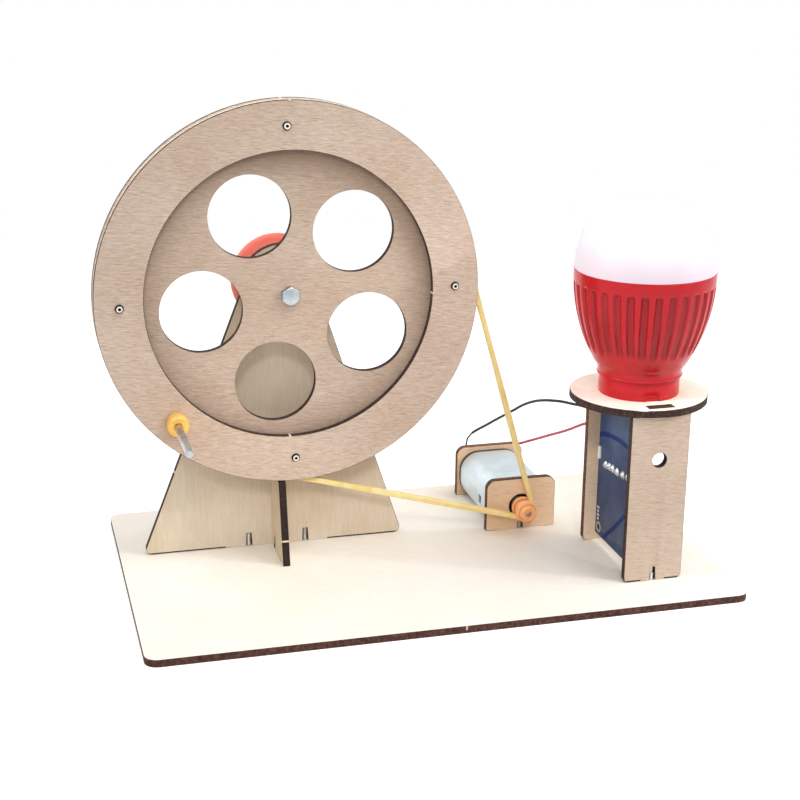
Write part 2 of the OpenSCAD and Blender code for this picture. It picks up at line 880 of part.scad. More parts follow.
module motor_end_cap() {
    skirt = 2;
    skirt_wall = 1.4;
    fit = 2 * (can_wall + snug);
    color("#2e2f31")
        difference() {
            along_y(motor_x, can_rear, motor_z)
                difference() {
                    union() {
                        linear_extrude(cap_rim)
                            rounded_rectangle(can_width, can_height, can_corner);
                        translate([0, 0, -skirt])
                            linear_extrude(skirt)
                                difference() {
                                    rounded_rectangle(can_width - fit, can_height - fit, can_corner - fit / 2);
                                    rounded_rectangle(can_width - fit - 2 * skirt_wall,
                                        can_height - fit - 2 * skirt_wall, can_corner - fit / 2 - skirt_wall);
                                }
                        cylinder(r = cap_boss, h = cap_boss_end - can_rear);
                    }
                    translate([0, 0, -cut])
                        cylinder(r = bearing_seat, h = shaft_rear + free_gap - can_rear + cut);
                }
            for (s = [-1, 1])
                translate([motor_x + s * terminal_offset, can_rear + cap_rim / 2, terminal_z])
                    cube([terminal_thick + 2 * snug, cap_rim + 2 * cut, terminal_wide + 2 * snug],
                        center = true);
        }
}

module motor_magnets() {
    inner = armature_radius + 1;
    outer = can_width / 2 - can_wall - snug;
    tall = 14;
    long = armature_length + 6;
    color("#4b4d50")
        for (s = [-1, 1])
            intersection() {
                along_y(motor_x, armature_front - 3, motor_z)
                    difference() {
                        cylinder(r = outer, h = long);
                        translate([0, 0, -cut])
                            cylinder(r = inner, h = long + 2 * cut);
                    }
                translate([motor_x + s * outer, armature_front - 3 + long / 2, motor_z])
                    cube([2 * inner, long + 2 * cut, tall], center = true);
            }
}

module motor_front_bearing() {
    color("#b9894a")
        along_y(motor_x, boss_front, motor_z)
            difference() {
                cylinder(r = bearing_radius, h = can_front - boss_front + can_wall);
                translate([0, 0, -cut])
                    cylinder(r = shaft_radius + running, h = can_front - boss_front + can_wall + 2 * cut);
            }
}

module motor_rear_bearing() {
    start = can_rear + 0.4;
    color("#b9894a")
        along_y(motor_x, start, motor_z)
            difference() {
                cylinder(r = bearing_radius, h = shaft_rear - start - 0.2);
                translate([0, 0, -cut])
                    cylinder(r = shaft_radius + running, h = shaft_rear - start + 2 * cut);
            }
}

module motor_brushes() {
    arm = 0.4;
    wide = 2.4;
    block = 1.2;
    inner = commutator_radius + free_gap;
    color("#c98d4a")
        for (s = [0, 1])
            mirror([0, 0, s])
                translate([motor_x - wide / 2, 0, inner + (s == 0 ? motor_z : -motor_z)]) {
                    translate([0, commutator_front + 1, 0])
                        cube([wide, wide, block]);
                    translate([0, commutator_front + 1, block])
                        cube([wide, can_rear - commutator_front - 1, arm]);
                }
}

module motor_terminals() {
    color("#c9a452")
        for (s = [-1, 1])
            translate([motor_x + s * terminal_offset - terminal_thick / 2, can_rear - cut,
                terminal_z - terminal_wide / 2])
                cube([terminal_thick, terminal_end - can_rear + cut, terminal_wide]);
}

module motor_shaft() {
    color(steel_colour)
        along_y(motor_x, pulley_start + 0.6, motor_z)
            cylinder(r = shaft_radius, h = shaft_rear - pulley_start - 0.6);
}

module armature_core() {
    hub = 3.2;
    web = 4;
    shoe = 1.7;
    reach = 48;
    far = 2 * armature_radius;
    color("#6d7278")
        along_y(motor_x, armature_front, motor_z)
            linear_extrude(armature_length)
                difference() {
                    union() {
                        circle(hub);
                        for (turn = [90, 210, 330])
                            rotate(turn) {
                                translate([0, -web / 2])
                                    square([armature_radius - shoe / 2, web]);
                                intersection() {
                                    difference() {
                                        circle(armature_radius);
                                        circle(armature_radius - shoe);
                                    }
                                    polygon([[0, 0], far * [cos(reach), -sin(reach)],
                                        [1.5 * far, 0], far * [cos(reach), sin(reach)]]);
                                }
                            }
                    }
                    circle(shaft_radius + snug);
                }
}

module armature_windings() {
    inner = 3.7;
    outer = 5.7;
    web = 4.2;
    side = 1.6;
    over = winding_over;
    color("#b5652f")
        for (turn = [90, 210, 330])
            along_y(motor_x, armature_front, motor_z)
                rotate([0, 0, turn])
                    difference() {
                        translate([inner, -web / 2 - side, -over])
                            cube([outer - inner, web + 2 * side, armature_length + 2 * over]);
                        translate([inner - cut, -web / 2, -snug])
                            cube([outer - inner + 2 * cut, web, armature_length + 2 * snug]);
                    }
}

module commutator() {
    slots = 3;
    slot = 0.5;
    color("#c07a3c")
        along_y(motor_x, commutator_front, motor_z)
            difference() {
                cylinder(r = commutator_radius, h = commutator_rear - commutator_front);
                translate([0, 0, -cut])
                    cylinder(r = shaft_radius + snug, h = commutator_rear - commutator_front + 2 * cut);
                for (i = [0:slots - 1])
                    rotate([0, 0, i * 360 / slots])
                        translate([commutator_radius - 0.5, -slot / 2, -cut])
                            cube([cut, slot, commutator_rear - commutator_front + 2 * cut]);
            }
}

// Belt drive

module motor_pulley() {
    bore = shaft_radius + snug;
    flange_front = pulley_groove_front - pulley_front_width;
    color(orange_colour)
        along_y(motor_x, 0, motor_z)
            rotate_extrude()
                polygon([
                    [bore, pulley_start], [pulley_nose - 0.4, pulley_start], [pulley_nose, pulley_start + 0.4],
                    [pulley_nose, flange_front], [pulley_front - 0.3, flange_front],
                    [pulley_front, flange_front + 0.3], [pulley_front, pulley_groove_front],
                    [pulley_root, pulley_groove_front], [pulley_root, pulley_groove_rear],
                    [pulley_rear, pulley_groove_rear], [pulley_rear, pulley_end], [bore, pulley_end]
                ]);
}

// A bend of the belt between two turns, about the local Z axis
module belt_bend(radius, from, to) {
    rotate([0, 0, from])
        rotate_extrude(angle = to - from, $fn = 180)
            translate([radius, 0])
                circle(belt_radius, $fn = 24);
}

// A straight run, stretched a little thinner, its ends just inside the two bends
module belt_strand(side) {
    rotate([0, 0, side * belt_wrap])
        translate([belt_wheel, side * belt_lap, 0])
            rotate([side * 90, 0, 0])
                cylinder(r = belt_radius - belt_thin, h = belt_run + 2 * belt_lap, $fn = 24);
}

module drive_belt() {
    color("#ebcf7c")
        translate([axle_x, groove_y, axle_z])
            rotate([90, 0, 0])
                rotate([0, 0, belt_slope]) {
                    belt_bend(belt_wheel, belt_wrap, 360 - belt_wrap);
                    translate([belt_span, 0, 0])
                        belt_bend(belt_pulley, -belt_wrap, belt_wrap);
                    belt_strand(1);
                    belt_strand(-1);
                }
}

// Wires

module black_wire() {
    color("#3f4e50")
        tube_along(black_route, wire_radius);
}

module red_wire() {
    color("#d9637a")
        tube_along(red_route, wire_radius);
}

// Tower

// Outline of a tower plate, with a wire hole, tabs and a screw slot
module plate_outline(foot) {
    difference() {
        union() {
            translate([-plate_width / 2, ply + plate_corner])
                square([plate_width, plate_height - plate_corner]);
            translate([0, ply + plate_height / 2])
                rounded_rectangle(plate_width, plate_height, plate_corner);
            translate([-top_tab / 2, table_z])
                square([top_tab, ply]);
            tab_outline(foot);
        }
        translate([0, wire_hole_z])
            circle(wire_hole);
        screw_slots(foot, screw_reach);
    }
}

module tower_front_plate() {
    color(plywood_colour)
        upright(front_plate_foot)
            plate_outline(front_plate_foot);
}

module tower_rear_plate() {
    color(plywood_colour)
        upright(rear_plate_foot)
            plate_outline(rear_plate_foot);
}

module lamp_table() {
    color(plywood_colour)
        translate([tower_x, tower_y, table_z])
            linear_extrude(ply)
                difference() {
                    circle(table_radius, $fn = 120);
                    square([socket_depth + 2 * snug, socket_width + 2 * snug], center = true);
                    for (s = [-1, 1])
                        translate([0, s * (tower_depth - ply - slot_room) / 2])
                            square([top_tab + 2 * snug, ply + slot_room + 2 * snug], center = true);
                }
}

// Circuit board

module circuit_board() {
    color(board_colour)
        difference() {
            translate([board_left, board_front, board_low])
                cube([board_thick, rear_plate_y - board_front, table_z - board_low]);
            for (y = [board_front + board_hole_inset, rear_plate_y - board_hole_inset])
                translate([board_left - cut, y, board_low + board_hole_inset])
                    rotate([0, 90, 0])
                        cylinder(r = board_hole, h = board_thick + 2 * cut);
        }
}

module usb_socket_shell() {
    color(steel_colour)
        translate([tower_x, tower_y, socket_low])
            linear_extrude(socket_height)
                difference() {
                    square([socket_depth, socket_width], center = true);
                    square([socket_depth - 2 * socket_wall, socket_width - 2 * socket_wall], center = true);
                }
}

module usb_socket_body() {
    tongue_wide = 10.8;
    tongue_x = -plug_part - socket_tongue;
    tongue_top = lamp_z - 2.5;
    color("#e9e9e4")
        translate([tower_x, tower_y, 0]) {
            translate([-socket_depth / 2 - socket_back, -socket_width / 2, socket_low - socket_floor])
                cube([socket_depth + socket_back, socket_width, socket_floor]);
            translate([-socket_depth / 2 - socket_back, -socket_width / 2, socket_low - socket_floor])
                cube([socket_back, socket_width, table_z - 0.2 - socket_low + socket_floor]);
            translate([tongue_x, -tongue_wide / 2, socket_low - cut])
                cube([socket_tongue, tongue_wide, tongue_top - socket_low + cut]);
        }
}

// Places children on the board's component side, with their own Z pointing away from it
module on_board(y, z) {
    translate([board_right, y, z])
        rotate([0, 90, 0])
            children();
}

module board_inductor() {
    flange = 1.2;
    waist = 0.74;
    color("#3a3c40")
        on_board(tower_y, ply + inductor_rise) {
            cylinder(r = inductor_radius, h = flange);
            cylinder(r = waist * inductor_radius, h = inductor_height);
            translate([0, 0, inductor_height - flange])
                cylinder(r = inductor_radius, h = flange);
        }
}

module board_capacitor() {
    foot = 2 * capacitor_radius + 0.5;
    foot_high = 0.8;
    color("#22262c")
        on_board(tower_y - capacitor_side, ply + capacitor_rise) {
            cylinder(r = capacitor_radius, h = capacitor_height);
            translate([-foot / 2, -foot / 2, 0])
                cube([foot, foot, foot_high]);
        }
}

module board_regulator() {
    case = [6.6, 3.6, 1.6];
    leg = [0.8, 6.8, 0.5];
    pitch = 2.3;
    color("#1f2022")
        on_board(tower_y + regulator_side, ply + regulator_rise) {
            translate([-case[0] / 2, -case[1] / 2, 0.1])
                cube(case);
            for (i = [-1, 0, 1])
                translate([pitch * i - leg[0] / 2, -leg[1] / 2, 0])
                    cube(leg);
        }
}

module board_diodes() {
    case = [4.4, 2.6, 2];
    leg = [5.4, 1.4, 0.6];
    color("#2a2a2c")
        for (i = [-1.5, -0.5, 0.5, 1.5])
            on_board(tower_y + diode_pitch * i, ply + diode_rise) {
                translate([-case[0] / 2, -case[1] / 2, 0.1])
                    cube(case);
                translate([-leg[0] / 2, -leg[1] / 2, 0])
                    cube(leg);
            }
}

// Lamp

// Outer radius of the housing at a height
function bowl_at(z) =
    lamp_radius - bowl_radius + sqrt(pow(bowl_radius, 2) - pow(bowl_top - min(z, bowl_top), 2));
bowl_start = bowl_at(bowl_low);
flare_rise = bowl_low - neck_z;
flare_out = bowl_start - neck_radius;
flare_radius = (pow(flare_rise, 2) + pow(flare_out, 2)) / (2 * flare_out);
function flare_at(z) = neck_radius + flare_radius - sqrt(pow(flare_radius, 2) - pow(z - neck_z, 2));
neck_ease = 0.5;
flare_steps = 5;
bowl_steps = 12;
housing_side = concat(
    [[neck_radius - neck_ease, collar_top], [neck_radius, collar_top + neck_ease]],
    [for (i = [0:flare_steps]) let (z = neck_z + flare_rise * i / flare_steps) [flare_at(z), z]],
    [for (i = [1:bowl_steps]) let (z = bowl_low + (bowl_top - bowl_low) * i / bowl_steps) [bowl_at(z), z]]
);
last_side = len(housing_side) - 1;
housing_inside = [for (i = [0:last_side])
    let (p = housing_side[last_side - i]) [p[0] - lamp_wall, i == 0 ? plate_seat : p[1]]];

module lamp_housing() {
    seat_radius = lamp_radius - dome_wall - snug;
    housing_rim = [[lamp_radius, rim_z], [seat_radius, rim_z], [seat_radius, plate_seat]];
    color(red_colour)
        difference() {
            translate([tower_x, tower_y, 0])
                rotate_extrude($fn = 120)
                    polygon(concat(housing_side, housing_rim, housing_inside));
            for (i = [0:groove_count - 1])
                translate([tower_x, tower_y, 0])
                    rotate([0, 0, i * 360 / groove_count])
                        cooling_groove();
        }
}

// A slab that follows the bowl's side at the groove's depth
module cooling_groove() {
    steps = 6;
    low = lamp_z + groove_low;
    high = lamp_z + groove_high;
    floor_line = [for (i = [0:steps]) let (z = low + (high - low) * i / steps) [bowl_at(z) - groove_depth, z]];
    translate([0, groove_width / 2, 0])
        rotate([90, 0, 0])
            linear_extrude(groove_width)
                polygon(concat(floor_line, [[lamp_radius + cut, high], [lamp_radius + cut, low]]));
}

module lamp_collar() {
    floor_thick = 2;
    wall = 2.4;
    notch = [1.2, 5.4, 4.2];
    notch_turn = -93;
    color(red_colour)
        translate([tower_x, tower_y, lamp_z])
            difference() {
                cylinder(r = lamp_collar_radius, h = lamp_collar_height, $fn = 96);
                translate([0, 0, floor_thick])
                    cylinder(r = lamp_collar_radius - wall, h = lamp_collar_height, $fn = 96);
                cube([plug_thick + 2 * snug, plug_width + 2 * snug, 3 * floor_thick], center = true);
                for (turn = [0, 180])
                    rotate([0, 0, notch_turn + turn])
                        translate([lamp_collar_radius, 0, 0])
                            cube(notch, center = true);
            }
}

module lamp_diffuser() {
    outer = lamp_radius - 0.1;
    inner = outer - dome_wall;
    color("#fbfbf8")
        translate([tower_x, tower_y, rim_z])
            rotate_extrude($fn = 120) {
                translate([inner, 0])
                    square([dome_wall, dome_skirt]);
                translate([0, dome_skirt])
                    intersection() {
                        difference() {
                            circle(outer);
                            circle(inner);
                        }
                        square(outer + cut);
                    }
            }
}

module lamp_led_plate() {
    color("#dfe2e4")
        translate([tower_x, tower_y, plate_seat])
            linear_extrude(plate_thick)
                difference() {
                    circle(lamp_radius - dome_wall - 0.3, $fn = 96);
                    circle(3);
                }
}

module lamp_leds() {
    led = 3;
    count = 10;
    circle_radius = 16;
    color("#f3d96a")
        translate([tower_x, tower_y, plate_seat + plate_thick])
            for (i = [0:count - 1])
                rotate([0, 0, i * 360 / count])
                    translate([circle_radius - led / 2, -led / 2, 0])
                        cube([led, led, 0.8]);
}

plug_top = lamp_z + 4;

module lamp_driver_board() {
    thick = 1.2;
    wide = 20;
    tall = 28;
    color("#3f7a4c")
        translate([tower_x - thick / 2, tower_y - wide / 2, plug_top])
            cube([thick, wide, tall]);
}

module usb_plug_shell() {
    color(steel_colour)
        translate([tower_x, tower_y, lamp_z - plug_length])
            linear_extrude(plug_top - lamp_z + plug_length)
                difference() {
                    square([plug_thick, plug_width], center = true);
                    square([plug_thick - 2 * plug_wall, plug_width - 2 * plug_wall], center = true);
                }
}

module usb_plug_tongue() {
    inset = 0.4;
    side = plug_width / 2 - plug_wall;
    color("#f1f1ee")
        translate([tower_x + plug_part, tower_y - side, lamp_z - plug_length + inset])
            cube([plug_thick / 2 - plug_wall - plug_part, 2 * side, plug_top - lamp_z + plug_length - inset]);
}

// Sub-components

base_plate();
wheel_stand();
stand_fin();
base_screws();
bracket_screws();
wheel_front_ring();
wheel_disc();
wheel_back_ring();
wheel_screws();
wheel_nuts();
wheel_axle();
axle_nut();
axle_sleeve();
rear_wheel();
crank_pin();
crank_collar();
crank_rear_collar();
motor_front_bracket();
motor_rear_bracket();
motor_can();
motor_end_cap();
motor_magnets();
motor_front_bearing();
motor_rear_bearing();
motor_brushes();
motor_terminals();
motor_shaft();
armature_core();
armature_windings();
commutator();
motor_pulley();
drive_belt();
black_wire();
red_wire();
tower_front_plate();
tower_rear_plate();
lamp_table();
circuit_board();
usb_socket_shell();
usb_socket_body();
board_inductor();
board_capacitor();
board_regulator();
board_diodes();
lamp_housing();
lamp_collar();
lamp_diffuser();
lamp_led_plate();
lamp_leds();
lamp_driver_board();
usb_plug_shell();
usb_plug_tongue();
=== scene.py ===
import bpy
import json
import math
from mathutils import Matrix, Vector

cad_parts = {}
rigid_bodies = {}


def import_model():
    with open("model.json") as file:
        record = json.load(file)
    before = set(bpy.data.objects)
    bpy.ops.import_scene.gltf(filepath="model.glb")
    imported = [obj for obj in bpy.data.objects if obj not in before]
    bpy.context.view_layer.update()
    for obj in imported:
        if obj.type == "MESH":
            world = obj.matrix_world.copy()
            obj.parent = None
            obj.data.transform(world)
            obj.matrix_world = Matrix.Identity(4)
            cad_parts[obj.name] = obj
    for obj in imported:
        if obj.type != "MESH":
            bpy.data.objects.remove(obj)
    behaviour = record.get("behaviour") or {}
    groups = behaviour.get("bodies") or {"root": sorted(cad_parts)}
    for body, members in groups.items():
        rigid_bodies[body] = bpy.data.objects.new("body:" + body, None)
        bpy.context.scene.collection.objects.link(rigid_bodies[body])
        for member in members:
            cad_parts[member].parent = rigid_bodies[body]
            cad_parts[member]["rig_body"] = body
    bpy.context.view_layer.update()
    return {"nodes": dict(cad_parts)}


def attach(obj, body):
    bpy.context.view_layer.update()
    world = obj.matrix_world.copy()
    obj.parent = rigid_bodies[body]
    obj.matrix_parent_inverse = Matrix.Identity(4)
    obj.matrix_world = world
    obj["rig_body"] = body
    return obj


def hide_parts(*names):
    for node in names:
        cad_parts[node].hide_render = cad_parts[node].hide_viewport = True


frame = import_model()
nodes = frame["nodes"]
mm = 0.001
print("frame loaded:", len(nodes), "nodes")

photoView = {
    "place": (-163.95, -587.22, 266.61),  # mm
    "yaw": 15.05,
    "pitch": 17.88,
    "roll": 0.54,
    "focalPixels": 1579.2,
    "pictureWidth": 800,
    "sensor": 36,
    "nearest": 0.02,  # m
}


def setCamera(view):
    yaw, pitch, roll = (math.radians(view[key]) for key in ("yaw", "pitch", "roll"))
    ahead = Vector((math.sin(yaw) * math.cos(pitch), math.cos(yaw) * math.cos(pitch), -math.sin(pitch)))
    level = Vector((math.cos(yaw), -math.sin(yaw), 0))
    rise = level.cross(ahead)
    right = math.cos(roll) * level + math.sin(roll) * rise
    up = math.cos(roll) * rise - math.sin(roll) * level
    data = bpy.data.cameras.new("photoCamera")
    data.sensor_width = view["sensor"]
    data.lens = view["sensor"] * view["focalPixels"] / view["pictureWidth"]
    data.clip_start = view["nearest"]
    data.dof.use_dof = False
    camera = bpy.data.objects.new("photoCamera", data)
    bpy.context.scene.collection.objects.link(camera)
    spot = Vector(view["place"]) * mm
    camera.matrix_world = Matrix((
        (right.x, up.x, -ahead.x, spot.x),
        (right.y, up.y, -ahead.y, spot.y),
        (right.z, up.z, -ahead.z, spot.z),
        (0, 0, 0, 1),
    ))
    bpy.context.scene.camera = camera


setCamera(photoView)
print("camera set")


def colour(hexText):  # sRGB hex to linear
    parts = [int(hexText[i:i + 2], 16) / 255 for i in (1, 3, 5)]
    linear = [p / 12.92 if p <= 0.04045 else ((p + 0.055) / 1.055) ** 2.4 for p in parts]
    return (*linear, 1.0)


def addNode(tree, kind, sets=None, feeds=None):  # hex text stands for its colour, a node for its first live output
    step = tree.nodes.new("ShaderNode" + kind)
    for key, value in (sets or {}).items():
        if key == "stops":  # a colour ramp's stops, low to high
            ramp = step.color_ramp.elements
            for stop, (position, shade) in zip(list(ramp), (value[0], value[-1])):
                stop.position, stop.color = position, colour(shade)
            for position, shade in value[1:-1]:
                ramp.new(position).color = colour(shade)
        elif isinstance(key, str) and key[0].islower():
            setattr(step, key, value)
        else:
            step.inputs[key].default_value = colour(value) if isinstance(value, str) else value
    for key, source in (feeds or {}).items():
        if isinstance(source, bpy.types.Node):
            source = next(output for output in source.outputs if output.enabled)
        tree.links.new(source, step.inputs[key])
    return step


def newMaterial(name):
    material = bpy.data.materials.new(name)
    material.use_nodes = True
    material.node_tree.nodes.clear()
    return material, material.node_tree


def holdOnly(piece):
    if bpy.context.object and bpy.context.object.mode != "OBJECT":
        bpy.ops.object.mode_set(mode="OBJECT")
    bpy.ops.object.select_all(action="DESELECT")
    piece.select_set(True)
    bpy.context.view_layer.objects.active = piece


def workMesh(piece, *steps):  # mesh operators with their settings, each run on the whole piece
    holdOnly(piece)
    bpy.ops.object.mode_set(mode="EDIT")
    for operator, settings in steps:
        bpy.ops.mesh.select_all(action="SELECT")
        operator(**settings)
    bpy.ops.object.mode_set(mode="OBJECT")


def easeEdges(piece, width, segments, angle):  # mm, and the degrees from which an edge is eased
    holdOnly(piece)
    bevel = piece.modifiers.new("ease", "BEVEL")
    bevel.width = width * mm
    bevel.segments = segments
    bevel.limit_method = "ANGLE"
    bevel.angle_limit = math.radians(angle)
    bpy.ops.object.modifier_apply(modifier="ease")


outward = (bpy.ops.mesh.normals_make_consistent, {"inside": False})
weld = (bpy.ops.mesh.remove_doubles, {"threshold": 0.001 * mm})


def newPiece(name, points, edges, faces):
    mesh = bpy.data.meshes.new(name)
    mesh.from_pydata([tuple(p) for p in points], edges, faces)
    piece = bpy.data.objects.new(name, mesh)
    bpy.context.scene.collection.objects.link(piece)
    return piece


def finishPiece(piece, materials, body, replaced=(), smooth=35):
    holdOnly(piece)
    bpy.ops.object.transform_apply(location=True, rotation=True, scale=True)
    if smooth:
        bpy.ops.object.shade_smooth_by_angle(angle=math.radians(smooth))
    if materials:
        piece.data.materials.clear()
        for material in materials:
            piece.data.materials.append(material)
    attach(piece, body)
    if replaced:
        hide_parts(*replaced)
    return piece


def smoothRoute(route, parts):  # points on one smooth curve through the route, in metres
    spots = [Vector(p) * mm for p in route]
    spots = [2 * spots[0] - spots[1]] + spots + [2 * spots[-1] - spots[-2]]
    out = []
    for i in range(1, len(spots) - 2):
        a, b, c, d = spots[i - 1:i + 3]
        for k in range(parts):
            t = k / parts
            out.append(0.5 * (2 * b + (c - a) * t + (2 * a - 5 * b + 4 * c - d) * t * t
                              + (3 * b - a - 3 * c + d) * t ** 3))
    out.append(spots[-2])
    return out


def sweptTube(name, spots, radii, sides):
    tangents = [(spots[min(i + 1, len(spots) - 1)] - spots[max(i - 1, 0)]).normalized() for i in range(len(spots))]
    side = tangents[0].orthogonal().normalized()
    points, faces = [], []
    for i, spot in enumerate(spots):
        side = (side - tangents[i] * side.dot(tangents[i])).normalized()
        over = tangents[i].cross(side)
        for k in range(sides):
            turn = 2 * math.pi * k / sides
            points.append(spot + radii[i] * (math.cos(turn) * side + math.sin(turn) * over))
    for i in range(len(spots) - 1):
        for k in range(sides):
            n = (k + 1) % sides
            faces.append((i * sides + k, i * sides + n, (i + 1) * sides + n, (i + 1) * sides + k))
    faces.append(tuple(reversed(range(sides))))
    faces.append(tuple(range((len(spots) - 1) * sides, len(spots) * sides)))
    return newPiece(name, points, [], faces)


# PVC insulation, extruded: soft sheen, faint lengthwise unevenness
def wirePlastic(name, deep, skin):
    material, tree = newMaterial(name)
    spot = addNode(tree, "TexCoord").outputs["Object"]
    mottle = addNode(tree, "TexNoise", {"Scale": 1 / (3 * mm), "Detail": 3.0}, {"Vector": spot})
    shade = addNode(tree, "ValToRGB", {"stops": [(0.3, deep), (0.7, skin)]}, {"Fac": mottle})
    grain = addNode(tree, "TexNoise", {"Scale": 1 / (0.5 * mm), "Detail": 2.0}, {"Vector": spot})
    dents = addNode(tree, "Bump", {"Strength": 0.15, "Distance": 0.1 * mm}, {"Height": grain})
    gloss = addNode(tree, "MapRange", {"To Min": 0.34, "To Max": 0.5}, {"Value": mottle})
    surface = addNode(tree, "BsdfPrincipled", {"IOR": 1.52}, {"Base Color": shade, "Roughness": gloss, "Normal": dents})
    addNode(tree, "OutputMaterial", {}, {"Surface": surface})
    return material


metalLook = {"line": 0.2, "along": None, "gloss": 0.3, "scratch": 0.1}  # line width in mm, axis the lines run along


# drawn, plated or tinned metal: bright, with drawing lines along one way and a little tarnish
def brightMetal(name, changes):
    look = {**metalLook, **changes}
    material, tree = newMaterial(name)
    spot = addNode(tree, "TexCoord").outputs["Object"]
    stretch = [1 / (look["line"] * mm)] * 3
    if look["along"] is not None:
        stretch[look["along"]] /= 40
    lineMap = addNode(tree, "Mapping", {"Scale": stretch}, {"Vector": spot})
    lines = addNode(tree, "TexNoise", {"Scale": 1.0, "Detail": 3.0}, {"Vector": lineMap})
    cloud = addNode(tree, "TexNoise", {"Scale": 1 / (7 * mm), "Detail": 4.0}, {"Vector": spot})
    shade = addNode(tree, "ValToRGB", {"stops": [(0.32, look["dull"]), (0.62, look["bright"])]}, {"Fac": cloud})
    gloss = addNode(tree, "MapRange", {"From Min": 0.3, "From Max": 0.7, "To Min": look["gloss"] - 0.06,
                                       "To Max": look["gloss"] + 0.1}, {"Value": lines})
    scratch = addNode(tree, "Bump", {"Strength": look["scratch"], "Distance": 0.05 * mm}, {"Height": lines})
    surface = addNode(tree, "BsdfPrincipled", {"Metallic": 1.0},
                      {"Base Color": shade, "Roughness": gloss, "Normal": scratch})
    addNode(tree, "OutputMaterial", {}, {"Surface": surface})
    return material


plasticLook = {"rings": None, "foot": None, "groove": None, "shine": 0.5, "flow": 14, "grit": 0.35, "gloss": 0.32,
               "bump": 0.08, "soft": 0.0}


# injection-moulded plastic: even colour with slow flow shading, fine mould texture
def mouldedPlastic(name, changes):
    look = {**plasticLook, **changes}
    material, tree = newMaterial(name)
    spot = addNode(tree, "TexCoord").outputs["Object"]
    flow = addNode(tree, "TexNoise", {"Scale": 1 / (look["flow"] * mm), "Detail": 2.0, "Distortion": 0.5},
                   {"Vector": spot})
    shade = addNode(tree, "ValToRGB", {"stops": [(0.3, look["deep"]), (0.7, look["skin"])]}, {"Fac": flow})
    if look["rings"]:  # painted highlight and shade rings on turned faces: X and Z of the axis, outer radius, (radius, colour) from the middle out
        x, z, outer, tones = look["rings"]
        arm = addNode(tree, "VectorMath", {"operation": "SUBTRACT", 1: (x * mm, 0, z * mm)}, {0: spot})
        flat = addNode(tree, "VectorMath", {"operation": "MULTIPLY", 1: (1, 0, 1)}, {0: arm})
        reach = addNode(tree, "VectorMath", {"operation": "LENGTH"}, {0: flat})
        share = addNode(tree, "Math", {"operation": "DIVIDE", 1: outer * mm}, {0: reach})
        ring = addNode(tree, "ValToRGB", {"stops": [(r / outer, tone) for r, tone in tones]}, {"Fac": share})
        shade = addNode(tree, "Mix", {"data_type": "RGBA", 0: 0.75}, {6: shade, 7: ring})
    if look["groove"]:  # painted shade in the flutes, as deep as the piece's own flute attribute says
        depth = addNode(tree, "Attribute", {"attribute_name": "groove"}).outputs["Fac"]
        part = addNode(tree, "Math", {"operation": "MULTIPLY", 1: 0.5}, {0: depth})
        shade = addNode(tree, "Mix", {"data_type": "RGBA", 7: look["groove"]}, {0: part, 6: shade})
    if look["foot"]:  # a tint that fades upward, here painted red light thrown onto the dome from the lamp's rim: from, to (mm) and colour
        low, high, tint = look["foot"]
        axes = addNode(tree, "SeparateXYZ", {}, {"Vector": spot})
        fade = addNode(tree, "MapRange", {"From Min": low * mm, "From Max": high * mm, "To Min": 1.0, "To Max": 0.0},
                       {"Value": axes.outputs["Z"]})
        shade = addNode(tree, "Mix", {"data_type": "RGBA", 7: tint}, {0: fade, 6: shade})
    grit = addNode(tree, "TexNoise", {"Scale": 1 / (look["grit"] * mm), "Detail": 3.0}, {"Vector": spot})
    gloss = addNode(tree, "MapRange", {"From Min": 0.3, "From Max": 0.7, "To Min": look["gloss"] - 0.05,
                                       "To Max": look["gloss"] + 0.08}, {"Value": grit})
    texture = addNode(tree, "Bump", {"Strength": look["bump"], "Distance": 0.05 * mm}, {"Height": grit})
    surface = addNode(tree, "BsdfPrincipled",
                      {"IOR": 1.53, "Specular IOR Level": look["shine"], "Subsurface Weight": look["soft"],
                       "Subsurface Radius": (1.0, 0.6, 0.4), "Subsurface Scale": 1.2 * mm},
                      {"Base Color": shade, "Roughness": gloss, "Normal": texture})
    addNode(tree, "OutputMaterial", {}, {"Surface": surface})
    return material


tinnedCopper = brightMetal("tinned_copper_wire", {"line": 0.1, "dull": "#A9ACA8", "bright": "#DDE2E2", "gloss": 0.26})
blackPvc = wirePlastic("black_pvc_insulation", "#0E1516", "#1E292A")
redPvc = wirePlastic("red_pvc_insulation", "#C23A50", "#DE5C74")

blackLead = {
    "route": [
        (42.2, 64.6, 18.5), (42.2, 64.6, 21.4), (42.8, 63.9, 25.8), (43, 63.3, 28.3), (43.6, 62.2, 30),
        (44.6, 60.4, 32.2), (46.3, 57.2, 34.8), (48.4, 52.2, 38.3), (51.2, 45.8, 43), (53.5, 40, 47),
        (55.3, 35.6, 50.1), (57.1, 31, 53.4), (58.8, 26.4, 56.1), (60.7, 21.2, 58.5), (62.8, 16.6, 60),
        (65.1, 12.6, 60.9), (67.6, 9.4, 61.3), (70.9, 6.6, 61), (74.6, 4.9, 60.4), (78.2, 4, 59),
        (81.4, 3.3, 57.4), (83.4, 2.8, 56.4), (85, 1.7, 55.7), (85.9, 0.2, 55.3), (86.2, -1.6, 55.2),
        (86.2, -4.4, 55.2), (85.8, -6.3, 55.2), (84.7, -8, 55.2), (82.9, -9.2, 55.2), (81.25, -9.3, 55.2),
    ],
    "thick": 1.2,
    "bareThick": 0.75,
    "bareTo": 5,  # the stripped, tinned end runs to this point of the route
}
